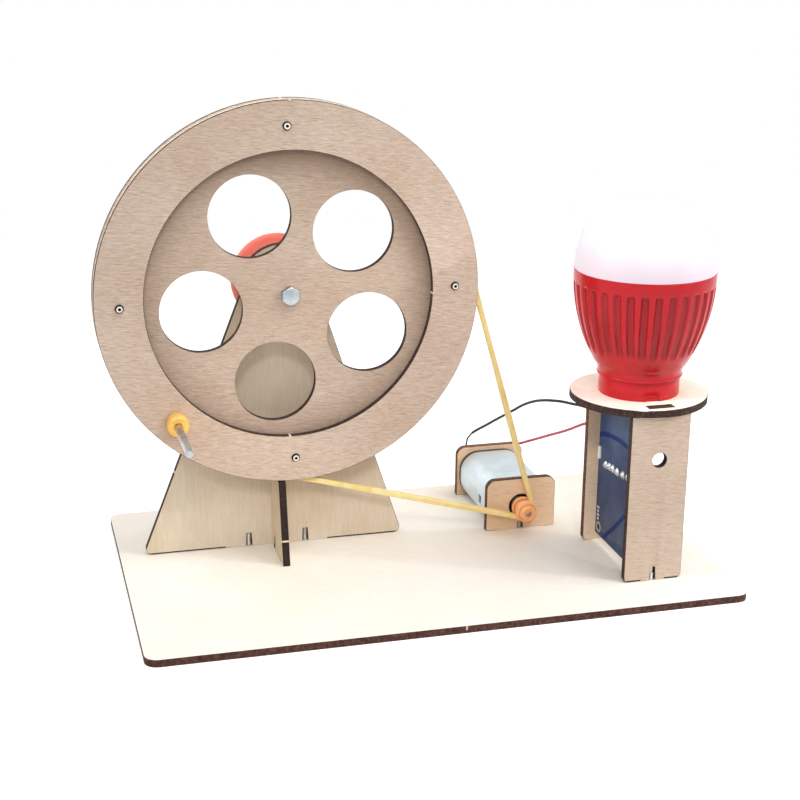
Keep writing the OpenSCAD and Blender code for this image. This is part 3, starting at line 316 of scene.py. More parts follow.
redLead = {
    "route": [
        (62.6, 64.6, 18.5), (62.7, 64.6, 20.4), (63.5, 64.5, 22.3), (65.4, 63.9, 23.8), (68.1, 61.6, 24.7),
        (70, 55.6, 27.7), (71.5, 48.8, 31), (72.8, 41.6, 34.5), (74, 34.2, 38), (74.9, 26.6, 41.5),
        (75.9, 19.2, 45.2), (76.6, 13.8, 48.1), (77.7, 9.4, 50.5), (79.4, 6, 52.3), (81.8, 4.1, 53.1),
        (84.2, 2.7, 53.4), (85.8, 1, 53.3), (86.5, -1.2, 53.2), (86.5, -4, 53.2), (86.1, -6, 53),
        (84.9, -7.8, 52.7), (83, -8.9, 52.5), (81.25, -9, 52.4),
    ],
    "thick": 1.2,
    "bareThick": 0.75,
    "bareTo": 1,
}


def makeLead(name, lead, insulation, node):
    parts = 4
    spots = smoothRoute(lead["route"], parts)
    radii = [(lead["bareThick"] if i < lead["bareTo"] * parts else lead["thick"]) / 2 * mm for i in range(len(spots))]
    sides = 14
    piece = sweptTube(name, spots, radii, sides)
    for face in piece.data.polygons:
        face.material_index = 1 if face.index < lead["bareTo"] * parts * sides - sides else 0
    finishPiece(piece, [insulation, tinnedCopper], "frame", [node], 60)
    return piece


makeLead("blackLead", blackLead, blackPvc, "black_wire")
makeLead("redLead", redLead, redPvc, "red_wire")


woodLook = {  # grain and sheet are axes: along the fibres, and through the sheet
    "fibre": 0.46, "stretch": 9, "tilt": 5, "grain": 0, "sheet": 1, "offset": (0, 0, 0),
    "dark": "#B8A08C", "mid": "#CFBAA8", "light": "#E1CFC0", "pore": "#9C806C", "pores": 0.55, "patch": "#F2EBE4",
    "char": ("#1C100C", "#33201A", "#553A2E"), "ticks": [], "scorchAndGapShade": [], "smokeAndShade": [], "burnt": [], "rim": None,
}


# birch plywood, laser cut: pale faces with fine fibres and short pores, edges charred brown with uncut ticks
def plywood(name, changes):
    look = {**woodLook, **changes}
    material, tree = newMaterial(name)
    place = addNode(tree, "TexCoord")
    spot = place.outputs["Object"]
    axes = addNode(tree, "SeparateXYZ", {}, {"Vector": spot})
    fibreSize = [look["fibre"] * mm] * 3
    fibreSize[look["grain"]] *= look["stretch"]
    turn = [0, 0, 0]
    turn[look["sheet"]] = math.radians(look["tilt"])
    fibreMap = addNode(tree, "Mapping", {"vector_type": "TEXTURE", "Scale": fibreSize, "Rotation": turn,
                                         "Location": [v * 0.05 for v in look["offset"]]}, {"Vector": spot})
    fibre = addNode(tree, "TexNoise", {"Scale": 1.0, "Detail": 5.0, "Roughness": 0.72, "Distortion": 0.8},
                    {"Vector": fibreMap})
    wood = addNode(tree, "ValToRGB", {"stops": [(0.34, look["dark"]), (0.5, look["mid"]), (0.66, look["light"])]},
                   {"Fac": fibre})
    poreScale = [1 / (0.5 * mm)] * 3
    poreScale[look["grain"]] = 1 / (5 * mm)
    poreMap = addNode(tree, "Mapping", {"Scale": poreScale, "Location": look["offset"]}, {"Vector": spot})
    pore = addNode(tree, "TexNoise", {"Scale": 1.0, "Detail": 2.0}, {"Vector": poreMap})
    poreMask = addNode(tree, "MapRange", {"From Min": 0.6, "From Max": 0.74, "To Max": look["pores"]}, {"Value": pore})
    pored = addNode(tree, "Mix", {"data_type": "RGBA", 7: look["pore"]}, {0: poreMask, 6: wood})
    patch = addNode(tree, "TexNoise", {"Scale": 1 / (38 * mm), "Detail": 3.0, "Distortion": 0.4}, {"Vector": spot})
    patchTone = addNode(tree, "ValToRGB", {"stops": [(0.32, look["patch"]), (0.66, "#FFFFFF")]}, {"Fac": patch})
    face = addNode(tree, "Mix", {"data_type": "RGBA", "blend_type": "MULTIPLY", 0: 1.0}, {6: pored, 7: patchTone})
    soot = addNode(tree, "TexNoise", {"Scale": 1 / (1.3 * mm), "Detail": 4.0, "Roughness": 0.65}, {"Vector": spot})
    edge = addNode(tree, "ValToRGB", {"stops": list(zip((0.34, 0.52, 0.7), look["char"]))}, {"Fac": soot})
    faceMarks, edgeMarks = [], []  # (mask, tone) pairs, laid over in turn; places and sizes below are in mm
    for x, z, wide, high in look["scorchAndGapShade"]:  # dark band along the bottom edge beside a foot: char of the cut edge and painted shade of the gap under it
        inX = addNode(tree, "Math", {"operation": "COMPARE", 1: x * mm, 2: wide / 2 * mm}, {0: axes.outputs["X"]})
        inZ = addNode(tree, "Math", {"operation": "COMPARE", 1: z * mm, 2: high / 2 * mm}, {0: axes.outputs["Z"]})
        faceMarks.append((addNode(tree, "Math", {"operation": "MULTIPLY"}, {0: inX, 1: inZ}), "#2E1C15"))
    for x, y, z, reach in look["burnt"]:  # dark rings round the screw heads: painted shade round each head, partly char of the cut hole
        away = addNode(tree, "VectorMath", {"operation": "DISTANCE", 1: (x * mm, y * mm, z * mm)}, {0: spot})
        near = addNode(tree, "MapRange", {"From Min": reach * mm, "From Max": (reach + 0.25) * mm, "To Min": 0.92,
                                          "To Max": 0.0}, {"Value": away})
        faceMarks.append((near, "#2E1F18"))
    for x, y, z, low, high, strength in look["smokeAndShade"]:  # painted shade of the ring's recess with some laser smoke, thickening between two radii
        away = addNode(tree, "VectorMath", {"operation": "DISTANCE", 1: (x * mm, y * mm, z * mm)}, {0: spot})
        ring = addNode(tree, "MapRange", {"interpolation_type": "SMOOTHSTEP", "From Min": low * mm,
                                          "From Max": high * mm, "To Max": strength}, {"Value": away})
        faceMarks.append((addNode(tree, "Math", {"operation": "MULTIPLY"}, {0: ring, 1: patch}), "#7C5C44"))
    if look["rim"]:  # painted highlight on the outer cut edge, a pale tone for the glancing light, with one dark line: centre, first radius, tone, line's start, end and tone
        x, y, z, radius, tone, start, end, burnt = look["rim"]
        away = addNode(tree, "VectorMath", {"operation": "DISTANCE", 1: (x * mm, y * mm, z * mm)}, {0: spot})
        outer = addNode(tree, "Math", {"operation": "GREATER_THAN", 1: radius * mm}, {0: away})
        paintedHighlight = addNode(tree, "MapRange", {"From Min": 0.3, "From Max": 0.6, "To Min": 0.7}, {"Value": soot})
        line = addNode(tree, "Math", {"operation": "COMPARE", 1: (start + end) / 2 * mm, 2: (end - start) / 2 * mm},
                       {0: axes.outputs["Y"]})
        for share, shade in ((paintedHighlight, tone), (line, burnt)):
            edgeMarks.append((addNode(tree, "Math", {"operation": "MULTIPLY"}, {0: outer, 1: share}), shade))
    for x, y, z, way, wide in look["ticks"]:  # uncut bridges left as pale lines across the edge
        away = addNode(tree, "VectorMath", {"operation": "DISTANCE", 1: (x * mm, y * mm, z * mm)}, {0: spot})
        near = addNode(tree, "Math", {"operation": "LESS_THAN", 1: 5 * mm}, {0: away})
        band = addNode(tree, "Math", {"operation": "COMPARE", 1: (x, y, z)[way] * mm, 2: wide / 2 * mm},
                       {0: axes.outputs[way]})
        edgeMarks.append((addNode(tree, "Math", {"operation": "MULTIPLY"}, {0: near, 1: band}), "#E3CBA8"))
    for mask, tone in faceMarks:
        face = addNode(tree, "Mix", {"data_type": "RGBA", 7: tone}, {0: mask, 6: face})
    for mask, tone in edgeMarks:
        edge = addNode(tree, "Mix", {"data_type": "RGBA", 7: tone}, {0: mask, 6: edge})
    facing = addNode(tree, "SeparateXYZ", {}, {"Vector": place.outputs["Normal"]})
    size = addNode(tree, "Math", {"operation": "ABSOLUTE"}, {0: facing.outputs[look["sheet"]]})
    isFace = addNode(tree, "Math", {"operation": "GREATER_THAN", 1: 0.8}, {0: size})
    shade = addNode(tree, "Mix", {"data_type": "RGBA"}, {0: isFace, 6: edge, 7: face})
    gloss = addNode(tree, "MapRange", {"To Min": 0.9, "To Max": 0.62}, {"Value": isFace})
    relief = addNode(tree, "Bump", {"Strength": 0.2, "Distance": 0.12 * mm}, {"Height": fibre})
    surface = addNode(tree, "BsdfPrincipled", {"IOR": 1.46},
                      {"Base Color": shade, "Roughness": gloss, "Normal": relief})
    addNode(tree, "OutputMaterial", {}, {"Surface": surface})
    return material


wheelAxis, motorAxis, lampAxis = (-49, 114.2), (52.4, 13.6), (86.4, -25.75)  # X, Z; X, Z; X, Y
wheelX, wheelZ = wheelAxis
ringScrews = {"circle": 67, "turn": 0.8, "front": 4.8, "rear": 16.9, "head": 1.6, "shank": 0.9, "socket": 0.62,
              "bright": 1.22}
ringTurns = [math.radians(ringScrews["turn"] + 90 * k) for k in range(4)]
ringSpots = [(wheelX + ringScrews["circle"] * math.cos(turn), wheelZ + ringScrews["circle"] * math.sin(turn))
             for turn in ringTurns]
woodPieces = {  # node: piece name, and what differs from piece to piece
    # the base board's near-white tones are painted light, paler than the wheel's plywood for the light falling on it
    # from above
    "base_plate": ("baseBoard", {
        "sheet": 2, "dark": "#F0E9DF", "mid": "#F5EFE6", "light": "#F8F4EC", "pore": "#E4D7C6", "pores": 0.2,
        "patch": "#FDFAF5", "ticks": [(1.6, -72, 6.2, 0, 0.7)], "char": ("#2E1A15", "#533329", "#70493B")}),
    "wheel_stand": ("wheelStand", {
        "grain": 2, "tilt": 0, "fibre": 0.8, "stretch": 14, "offset": (3, 1, 7), "pores": 0.1,
        "dark": "#DBCCB4", "mid": "#E0D2BC", "light": "#E5D9C5",
        # the bottom band: char and painted shade of the gap under the stand
        "scorchAndGapShade": [(-92, 3.2, 34, 0.9), (-15, 3.2, 33, 0.9)], "ticks": [(-96.1, 24.6, 38.5, 2, 0.8)]}),
    "stand_fin": ("standFin", {
        "sheet": 0, "grain": 2, "tilt": 0, "char": ("#120A07", "#22140F", "#3A261D"), "offset": (9, 4, 2),
        "ticks": [(-53.8, 0.7, 13.1, 2, 0.7)], "dark": "#DCC9B0", "mid": "#E3D2BA", "light": "#E9DBC5"}),
    "wheel_front_ring": ("frontRing", {
        "ticks": [(-50.1, 7.5, 56.6, 0, 0.8), (-48.6, 7.5, 191, 0, 0.9), (8.6, 7.5, 112.6, 2, 0.8)],
        # rings round the screw heads: painted shade, partly char
        "burnt": [(x, 6, z, 1.65) for x, z in ringSpots],
        # painted highlight: the pale tone on the outer edge stands for glancing light
        "rim": (wheelX, 7.5, wheelZ, 70, "#EDE0D2", 5.9, 7.5, "#4E2F22")}),
    # the window disc is darker than the rings: painted shade to deepen the ring's shadow on it
    "wheel_disc": ("windowDisc", {
        "offset": (5, 2, 1), "dark": "#B29B88", "mid": "#C9B4A2", "light": "#DAC9B9",
        # painted highlight: the pale tone on the outer edge stands for glancing light
        "rim": (wheelX, 10.5, wheelZ, 66, "#E6D8C6", 9, 9.2, "#5A3B2D"),
        # painted shade round the ring's inner edge with some smoke, and the ring's painted shadow on the disc's upper
        # right
        "smokeAndShade": [(wheelX, 9, wheelZ, 42, 58, 0.75), (-75, 9, 80, 70, 96, 0.5)]}),
    "wheel_back_ring": ("backRing", {
        "offset": (1, 8, 4), "dark": "#DCCDBE", "mid": "#EADED2", "light": "#F3EAE0",
        # painted highlight: the pale tone on the outer edge stands for glancing light
        "ticks": [(-51, 13.5, 191, 0, 0.9)], "rim": (wheelX, 13.5, wheelZ, 70, "#E8D6C2", 12.3, 15.1, "#4A463C")}),
    "motor_front_bracket": ("frontBracket", {
        "offset": (2, 2, 8), "dark": "#E3C29F", "mid": "#EBCBA9", "light": "#F0D6B9",
        "char": ("#3B241B", "#5E3D2E", "#80604C")}),
    "motor_rear_bracket": ("rearBracket", {
        "offset": (6, 2, 3), "dark": "#E3C29F", "mid": "#EBCBA9", "light": "#F0D6B9",
        "char": ("#4B3024", "#6E4B3A", "#8E6C57")}),
    "tower_front_plate": ("towerFront", {
        "offset": (4, 6, 5), "dark": "#B9A491", "mid": "#C9B5A3", "light": "#D6C5B6",
        # the bottom band: char and painted shade of the gap under the plate
        "scorchAndGapShade": [(77.7, 3.3, 7.2, 0.9), (95.1, 3.3, 7.2, 0.9)]}),
    "tower_rear_plate": ("towerRear", {
        "offset": (7, 3, 6), "dark": "#E3C6A8", "mid": "#ECD3B7", "light": "#F2DDC4",
        "char": ("#3B241B", "#5E3D2E", "#80604C")}),
    # the lamp table's pale tones are painted light, set against the shade of the lamp above it
    "lamp_table": ("lampTable", {
        "sheet": 2, "offset": (8, 1, 2), "dark": "#F6E8D8", "mid": "#FBF0E3", "light": "#FDF6ED"}),
}


# a merged copy of a CAD node with its edges eased, standing for the node
def easedCopy(node, name, material, ease, segments=2):
    piece = bpy.data.objects.new(name, nodes[node].data.copy())
    bpy.context.scene.collection.objects.link(piece)
    workMesh(piece, (bpy.ops.mesh.remove_doubles, {"threshold": 0.002 * mm}),
             (bpy.ops.mesh.dissolve_limited, {"angle_limit": math.radians(0.3)}))
    easeEdges(piece, ease, segments, 38)
    return finishPiece(piece, [material], nodes[node]["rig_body"], [node], 32)


for node, (name, changes) in woodPieces.items():
    easedCopy(node, name, plywood("birch_plywood_" + node, changes),
              0.2, 1)
print("plywood dressed:", len(woodPieces))

steel = brightMetal("zinc_plated_steel", {"line": 0.25, "dull": "#949EA4", "bright": "#BFC8CC", "scratch": 0.12})
drawnSteel = brightMetal("drawn_steel_can", {"line": 0.3, "along": 1, "dull": "#CDD7DB", "bright": "#D8E2E6",
                                             "gloss": 0.5, "scratch": 0.04})
# paler than the plated steel: painted light, so that screws in shaded slots still look lit
screwZinc = brightMetal("zinc_screw_painted_lighter", {"dull": "#D5D0C4", "bright": "#F1ECE0", "gloss": 0.5})
tubeMetal = brightMetal("drawn_aluminium_tube", {"along": 1, "dull": "#A9AEB3", "bright": "#CDD1D5", "gloss": 0.32,
                                                 "scratch": 0.15})
brass = brightMetal("brass_sheet", {"dull": "#A8874A", "bright": "#DDBB72"})
bronze = brightMetal("sintered_bronze", {"line": 0.3, "dull": "#86633C", "bright": "#B58B57", "gloss": 0.42,
                                         "scratch": 0.3})
copperWire = brightMetal("enamelled_copper", {"line": 0.4, "along": 1, "dull": "#8A4325", "bright": "#C46C3C",
                                              "scratch": 0.4})
coreIron = brightMetal("stacked_core_iron", {"line": 0.5, "dull": "#6B6E72", "bright": "#94989C", "gloss": 0.45,
                                             "scratch": 0.3})
# the flutes' dark red is painted shade
lampRed = mouldedPlastic("red_moulded_abs", {"deep": "#B0101A", "skin": "#C0141E", "shine": 0.3, "gloss": 0.2,
                                             "groove": "#7A0A12"})
orangePlastic = mouldedPlastic("orange_moulded_nylon", {"deep": "#F9B44C", "skin": "#FFCC6A", "soft": 0.3, "flow": 5,
                                                        "gloss": 0.26})
# painted light on the pulley: a dark ring by the shaft, a highlight on the nose's edge and a shadow line round the nose
pulleyLightRings = [(1.0, "#D97F45"), (1.6, "#F5A468"), (2.6, "#F8AE72"), (3.0, "#FFD08C"), (3.35, "#F6B06A"),
               (3.6, "#E58A50"), (4.1, "#F7AE78"), (4.6, "#FFC694")]
pulleyPlastic = mouldedPlastic("peach_moulded_nylon", {"deep": "#F49A5C", "skin": "#FCB078", "soft": 0.2, "flow": 4,
                                                       "gloss": 0.3, "rings": (*motorAxis, 5, pulleyLightRings)})
rearRed = mouldedPlastic("coral_moulded_wheel", {"deep": "#F06450", "skin": "#F97A66", "gloss": 0.38})
# the dome's pink foot is painted light, the red of the rim thrown back onto it
frostedWhite = mouldedPlastic("frosted_polycarbonate", {"deep": "#D6D5D9", "skin": "#DCDBDF", "soft": 0.3,
                                                        "gloss": 0.42, "foot": (126.5, 142, "#E0D0DB")})
whitePlastic = mouldedPlastic("white_moulded_nylon", {"deep": "#E6E6E0", "skin": "#F2F2EE"})
blackPlastic = mouldedPlastic("black_moulded_resin", {"deep": "#1B1C1E", "skin": "#2B2C2F", "gloss": 0.45})
ferrite = mouldedPlastic("ferrite_ceramic", {"deep": "#2C2D30", "skin": "#3D3F43", "gloss": 0.6, "grit": 0.6,
                                             "bump": 0.3})
# painted shade: a dark brown laid where shade falls, in screw sockets, on screw heads' outer edges and inside the
# bracket's hole
paintedShade = mouldedPlastic("painted_shade_dark", {"deep": "#1C120D", "skin": "#2B1D16", "gloss": 0.7, "shine": 0.2})
ledResin = mouldedPlastic("yellow_phosphor_resin", {"deep": "#E8C94E", "skin": "#F5E07A", "soft": 0.2})
blueMask = mouldedPlastic("blue_solder_mask", {"flow": 13, "deep": "#152B55", "skin": "#30476B", "gloss": 0.36,
                                               "shine": 0.25})
traceBlue = mouldedPlastic("blue_mask_over_copper", {"flow": 6, "deep": "#10265C", "skin": "#183270", "gloss": 0.5,
                                                     "shine": 0.08})
greenMask = mouldedPlastic("green_solder_mask", {"deep": "#2F6B41", "skin": "#43834F"})
bandRubber = mouldedPlastic("amber_latex_band", {"flow": 6, "deep": "#EFD384", "skin": "#F8E4A4", "soft": 0.4,
                                                 "gloss": 0.4, "grit": 0.5, "bump": 0.2})

easedNodes = {  # node: piece name, material, slot, eased edge in mm
    "axle_nut": ("axleNut", steel, "steel", 0.25),
    "axle_sleeve": ("axleSleeve", whitePlastic, "white_plastic", 0.15),
    "rear_wheel": ("rearWheel", rearRed, "rear_red", 0.3),
    "wheel_nuts": ("ringNuts", steel, "steel", 0.15),
    "crank_pin": ("crankTube", tubeMetal, "aluminium", 0.2),
    "crank_collar": ("crankCollar", orangePlastic, "orange_plastic", 0.4),
    "crank_rear_collar": ("crankRearCollar", orangePlastic, "orange_plastic", 0.3),
    "motor_can": ("motorCan", drawnSteel, "motor_steel", 0.5),
    "motor_end_cap": ("motorEndCap", blackPlastic, "black_plastic", 0.2),
    "motor_terminals": ("motorTabs", brass, "brass", 0.1),
    "motor_pulley": ("motorPulley", pulleyPlastic, "orange_plastic", 0.25),
    "motor_front_bearing": ("frontBearing", bronze, "bronze", 0.15),
    "motor_rear_bearing": ("rearBearing", bronze, "bronze", 0.15),
    "motor_shaft": ("motorShaft", steel, "steel", 0.1),
    "circuit_board": ("boardSheet", blueMask, "board_blue", 0.12),
    "usb_socket_shell": ("socketShell", steel, "steel", 0.12),
    "usb_socket_body": ("socketBody", whitePlastic, "white_plastic", 0.1),
    "board_inductor": ("boardInductor", ferrite, "ferrite", 0.3),
    "board_capacitor": ("boardCapacitor", drawnSteel, "aluminium", 0.3),
    "board_regulator": ("boardRegulator", blackPlastic, "component", 0.15),
    "board_diodes": ("boardDiodes", blackPlastic, "component", 0.15),
    "lamp_collar": ("lampFoot", lampRed, "lamp_red", 0.25),
    "usb_plug_shell": ("plugShell", steel, "steel", 0.1),
    "usb_plug_tongue": ("plugTongue", whitePlastic, "white_plastic", 0.1),
}
for node, (name, material, slot, ease) in easedNodes.items():
    made = easedCopy(node, name, material, ease)
    if node == "motor_can":  # painted shade: the can's face inside the bracket's hole is painted dark
        made.data.materials.append(paintedShade)
        for face in made.data.polygons:
            if face.center.y < 17.7 * mm and face.normal.y < -0.9:
                face.material_index = 1
plainNodes = {
    "motor_magnets": ferrite, "motor_brushes": copperWire,
    "armature_core": coreIron, "armature_windings": copperWire, "commutator": copperWire,
    "lamp_led_plate": drawnSteel, "lamp_leds": ledResin, "lamp_driver_board": greenMask,
}
for node, material in plainNodes.items():
    nodes[node].data.materials.clear()
    nodes[node].data.materials.append(material)
print("eased copies:", len(easedNodes))


# a turned piece: (radius, height) pairs in mm spun about an upright or lying axis
def turnedPiece(name, profile, place, steps, lying=False, closed=False):
    points = [(r * mm, 0, h * mm) for r, h in profile]
    edges = [(i, i + 1) for i in range(len(points) - 1)]
    if closed:
        edges.append((len(points) - 1, 0))
    piece = newPiece(name, points, edges, [])
    round360 = {"steps": steps, "angle": 2 * math.pi, "center": (0, 0, 0), "axis": (0, 0, 1)}
    workMesh(piece, (bpy.ops.mesh.spin, round360), weld, outward)
    if lying:
        piece.rotation_euler = (-math.pi / 2, 0, 0)  # height runs along +Y
    piece.location = Vector(place) * mm
    bpy.ops.object.transform_apply(location=True, rotation=True, scale=True)
    return piece


lampShade = {
    "place": (*lampAxis, 0), "radius": 28, "bowlRadius": 70, "rimTop": 126.3, "bowlTop": 123.9, "bowlLow": 88.8,
    "neckTop": 85.4, "neck": 17.2, "foot": 83.6, "wall": 2, "rows": 48, "neckRows": 8,
    "bead": [(-0.5, 0), (-0.16, 0.08), (0, 0.3), (0, 0.62), (-0.14, 0.86), (-0.24, 1.2)],  # out and up, at the foot
    "waist": 0.24, "seat": 1.25, "seatDeep": 2, "rimEase": 0.3,  # neck drawn in above the bead; step under the dome
    "flutes": 32, "columns": 18, "fluteWide": 2.7, "fluteDeep": 1.0, "fluteLow": 94.2, "fluteHigh": 120.8,
    "fluteEase": 0.3, "fadeLow": 2.4, "fadeHigh": 0.8,  # rounding of the flutes' edges, and how far their ends run out
}


def bowlAt(z):
    s = lampShade
    drop = s["bowlTop"] - min(z, s["bowlTop"])
    return s["radius"] - s["bowlRadius"] + math.sqrt(s["bowlRadius"] ** 2 - drop ** 2)


def makeLampShade(s):
    rise = s["bowlLow"] - s["neckTop"]
    out = bowlAt(s["bowlLow"]) - s["neck"]
    flare = (rise ** 2 + out ** 2) / (2 * out)
    side = [(s["neck"] + r, s["foot"] + z) for r, z in s["bead"]]
    for i in range(s["neckRows"] + 1):
        part = i / s["neckRows"]
        side.append((s["neck"] - s["waist"] * (1 - part) + flare - math.sqrt(flare ** 2 - (rise * part) ** 2),
                     s["neckTop"] + rise * part))
    for i in range(1, s["rows"] + 1):
        z = s["bowlLow"] + (s["bowlTop"] - s["bowlLow"]) * i / s["rows"]
        side.append((bowlAt(z), z))
    top, ledge, seat = s["rimTop"], s["rimTop"] - s["seatDeep"], s["radius"] - s["seat"]
    rim = [(s["radius"], top - s["rimEase"]), (s["radius"] - s["rimEase"], top), (seat, top), (seat, ledge)]
    inside = [(r - s["wall"], z) for r, z in reversed(side[3:])]
    inside[0] = (inside[0][0], ledge)
    inside.append((s["neck"] - s["wall"], s["foot"]))
    piece = turnedPiece("lampShade", side + rim + inside, s["place"], s["flutes"] * s["columns"], closed=True)
    centre = Vector(s["place"]) * mm
    # the flute share is stored for the painted shade in the flutes
    depths = piece.data.attributes.new("groove", "FLOAT", "POINT")
    pitch, ease = 2 * math.pi / s["flutes"], s["fluteEase"]
    for vertex in piece.data.vertices:  # press the flutes in
        arm = Vector((vertex.co.x - centre.x, vertex.co.y - centre.y, 0))
        radius, z = arm.length / mm, vertex.co.z / mm
        if radius < bowlAt(z) - s["wall"] / 3:  # the inner side stays plain
            continue
        turn = math.atan2(arm.y, arm.x)
        off = abs(turn - round(turn / pitch) * pitch) * radius
        across = max(0.0, min(1.0, (s["fluteWide"] / 2 + ease - off) / (2 * ease)))
        along = max(0.0, min(1.0, (z - s["fluteLow"] + ease) / s["fadeLow"],
                             (s["fluteHigh"] + ease - z) / s["fadeHigh"]))
        vertex.co -= arm.normalized() * s["fluteDeep"] * mm * across * along
        depths.data[vertex.index].value = across * along
    return finishPiece(piece, [lampRed], "lamp", ["lamp_housing"], 40)


makeLampShade(lampShade)

lampDome = {"place": (*lampAxis, 126.3), "radius": 27.9, "wall": 1.2, "skirt": 0.8, "rows": 28, "columns": 120}


def makeLampDome(s):
    arc = [math.radians(90 * i / s["rows"]) for i in range(s["rows"])]
    profile = []
    for r in (s["radius"], s["radius"] - s["wall"]):
        shell = [(r, 0)] + [(r * math.cos(a), s["skirt"] + r * math.sin(a)) for a in arc] + [(0, s["skirt"] + r)]
        profile += reversed(shell) if profile else shell
    piece = turnedPiece("lampDome", profile, s["place"], s["columns"])
    bpy.ops.object.mode_set(mode="EDIT")
    bpy.ops.mesh.select_all(action="DESELECT")
    bpy.ops.mesh.select_non_manifold()
    bpy.ops.mesh.bridge_edge_loops()
    bpy.ops.mesh.select_all(action="DESELECT")
    bpy.ops.object.mode_set(mode="OBJECT")
    return finishPiece(piece, [frostedWhite], "lamp", ["lamp_diffuser"], 40)


makeLampDome(lampDome)
print("lamp made")

driveBand = {
    "wheel": wheelAxis, "pulley": motorAxis, "depth": 10.5,  # X, Z of the two centres and the Y of the run
    "wheelRadius": 73.5, "pulleyRadius": 3.9, "wide": 2.6, "thick": 2.4, "round": 0.28,
    "twist": (14, -14),  # degrees that the two straight runs roll over
    "slim": 0.78,  # share of the thickness left at the pulley
    "wheelSteps": 150, "runSteps": 46, "pulleySteps": 24,
}


def makeDriveBand(s):
    a, b = Vector(s["wheel"]), Vector(s["pulley"])
    slope = math.atan2(b.y - a.y, b.x - a.x)
    wrap = math.acos((s["wheelRadius"] - s["pulleyRadius"]) / (b - a).length)
    runs = s["runSteps"]
    rolls = [math.sin(2 * math.pi * i / runs) * math.sin(math.pi * i / runs) for i in range(runs)]
    stations = [(slope + wrap + 2 * (math.pi - wrap) * i / s["wheelSteps"], 0, 0) for i in range(s["wheelSteps"])]
    stations += [(slope - wrap, i / runs, s["twist"][0] * rolls[i]) for i in range(1, runs)]
    stations += [(slope - wrap + 2 * wrap * i / s["pulleySteps"], 1, 0) for i in range(s["pulleySteps"] + 1)]
    stations += [(slope + wrap, 1 - i / runs, s["twist"][1] * rolls[i]) for i in range(1, runs)]
    r = s["round"]
    w, t = s["wide"] / 2 - r, s["thick"] / 2 - r
    section = []
    for p, q, first in ((w, t, 0), (-w, t, 90), (-w, -t, 180), (w, -t, 270)):
        for k in range(4):
            angle = math.radians(first + 30 * k)
            section.append((p + r * math.cos(angle), q + r * math.sin(angle)))
    points, faces = [], []
    deep = Vector((0, 1, 0))
    for turn, part, roll in stations:  # outward turn, part of the way from wheel to pulley, roll
        out = Vector((math.cos(turn), 0, math.sin(turn)))
        middle = a.lerp(b, part)
        radius = s["wheelRadius"] + (s["pulleyRadius"] - s["wheelRadius"]) * part
        spot = Vector((middle.x, s["depth"], middle.y)) + out * radius
        share = 1 + (s["slim"] - 1) * part
        c, n = math.cos(math.radians(roll)), math.sin(math.radians(roll))
        for p, q in section:
            points.append((spot + deep * (p * c - q * share * n) + out * (p * n + q * share * c)) * mm)
    size = len(section)
    for i in range(len(stations)):
        j = (i + 1) % len(stations)
        for k in range(size):
            n = (k + 1) % size
            faces.append((i * size + k, i * size + n, j * size + n, j * size + k))
    piece = newPiece("driveBand", points, [], faces)
    workMesh(piece, outward)
    return finishPiece(piece, [bandRubber], nodes["drive_belt"]["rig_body"], ["drive_belt"], 50)


makeDriveBand(driveBand)
print("drive band made")


def joinPieces(pieces, name):
    holdOnly(pieces[0])
    for piece in pieces[1:]:
        piece.select_set(True)
    if len(pieces) > 1:
        bpy.ops.object.join()
    pieces[0].name = name
    return pieces[0]


def copyTo(piece, shift):  # a copy with its own mesh, moved by mm
    twin = piece.copy()
    twin.data = piece.data.copy()
    bpy.context.scene.collection.objects.link(twin)
    twin.data.transform(Matrix.Translation(Vector(shift) * mm))
    return twin


footScrews = {
    "shank": 1.05, "core": 0.66, "pitch": 1.0, "head": 2.0, "sink": 1.1, "overlap": 0.3,
    "headRim": 0.15, "recess": [(0, 0.55), (0.5, 0.4), (0.75, 0)],  # cross recess drawn as a turned dimple
    "stand": ((-65.1, 24.6), (-41, 24.6), (-53.8, 17.1)), "standTop": 8.8,
    "tower": ((86.4, -48.5), (86.4, -3)), "towerTop": 6.0,
    "bracket": ((52.4, 16), (52.4, 60)), "bracketTop": 6.2,
}


def makeFootScrew(s, top):  # one wood screw at the origin, head down
    start = s["sink"] - s["overlap"]
    turns = max(3, round((top - start) / s["pitch"]))
    pitch = (top - start) / (turns + 1)
    core, shank = s["core"] * mm, s["shank"] * mm
    flank = [(core, 0, start * mm), (shank, 0, (start + 0.42 * pitch) * mm), (shank, 0, (start + 0.55 * pitch) * mm),
             (core, 0, (start + pitch) * mm)]
    thread = newPiece("screwThread", flank, [(0, 1), (1, 2), (2, 3)], [])
    holdOnly(thread)
    wind = thread.modifiers.new("wind", "SCREW")
    wind.axis = "Z"
    wind.angle = 2 * math.pi
    wind.screw_offset = pitch * mm
    wind.iterations = turns
    wind.steps = wind.render_steps = 18
    wind.use_merge_vertices = True
    wind.merge_threshold = 0.001 * mm
    bpy.ops.object.modifier_apply(modifier="wind")
    workMesh(thread, weld, (bpy.ops.mesh.fill_holes, {"sides": 0}), outward)
    profile = s["recess"] + [(s["head"], 0), (s["head"], s["headRim"]), (s["core"], s["sink"]), (0, s["sink"])]
    return joinPieces([thread, turnedPiece("screwHead", profile, (0, 0, 0), 32)], "footScrew")


def placeFootScrews(s):
    groups = {"footScrews": ("base_screws", ("stand", "tower")), "bracketScrews": ("bracket_screws", ("bracket",))}
    for name, (node, kinds) in groups.items():
        made = []
        for kind in kinds:
            first = makeFootScrew(s, s[kind + "Top"])
            made += [copyTo(first, (x, y, 0)) for x, y in s[kind]]
            bpy.data.objects.remove(first)
        finishPiece(joinPieces(made, name), [screwZinc], "frame", [node], 40)


placeFootScrews(footScrews)


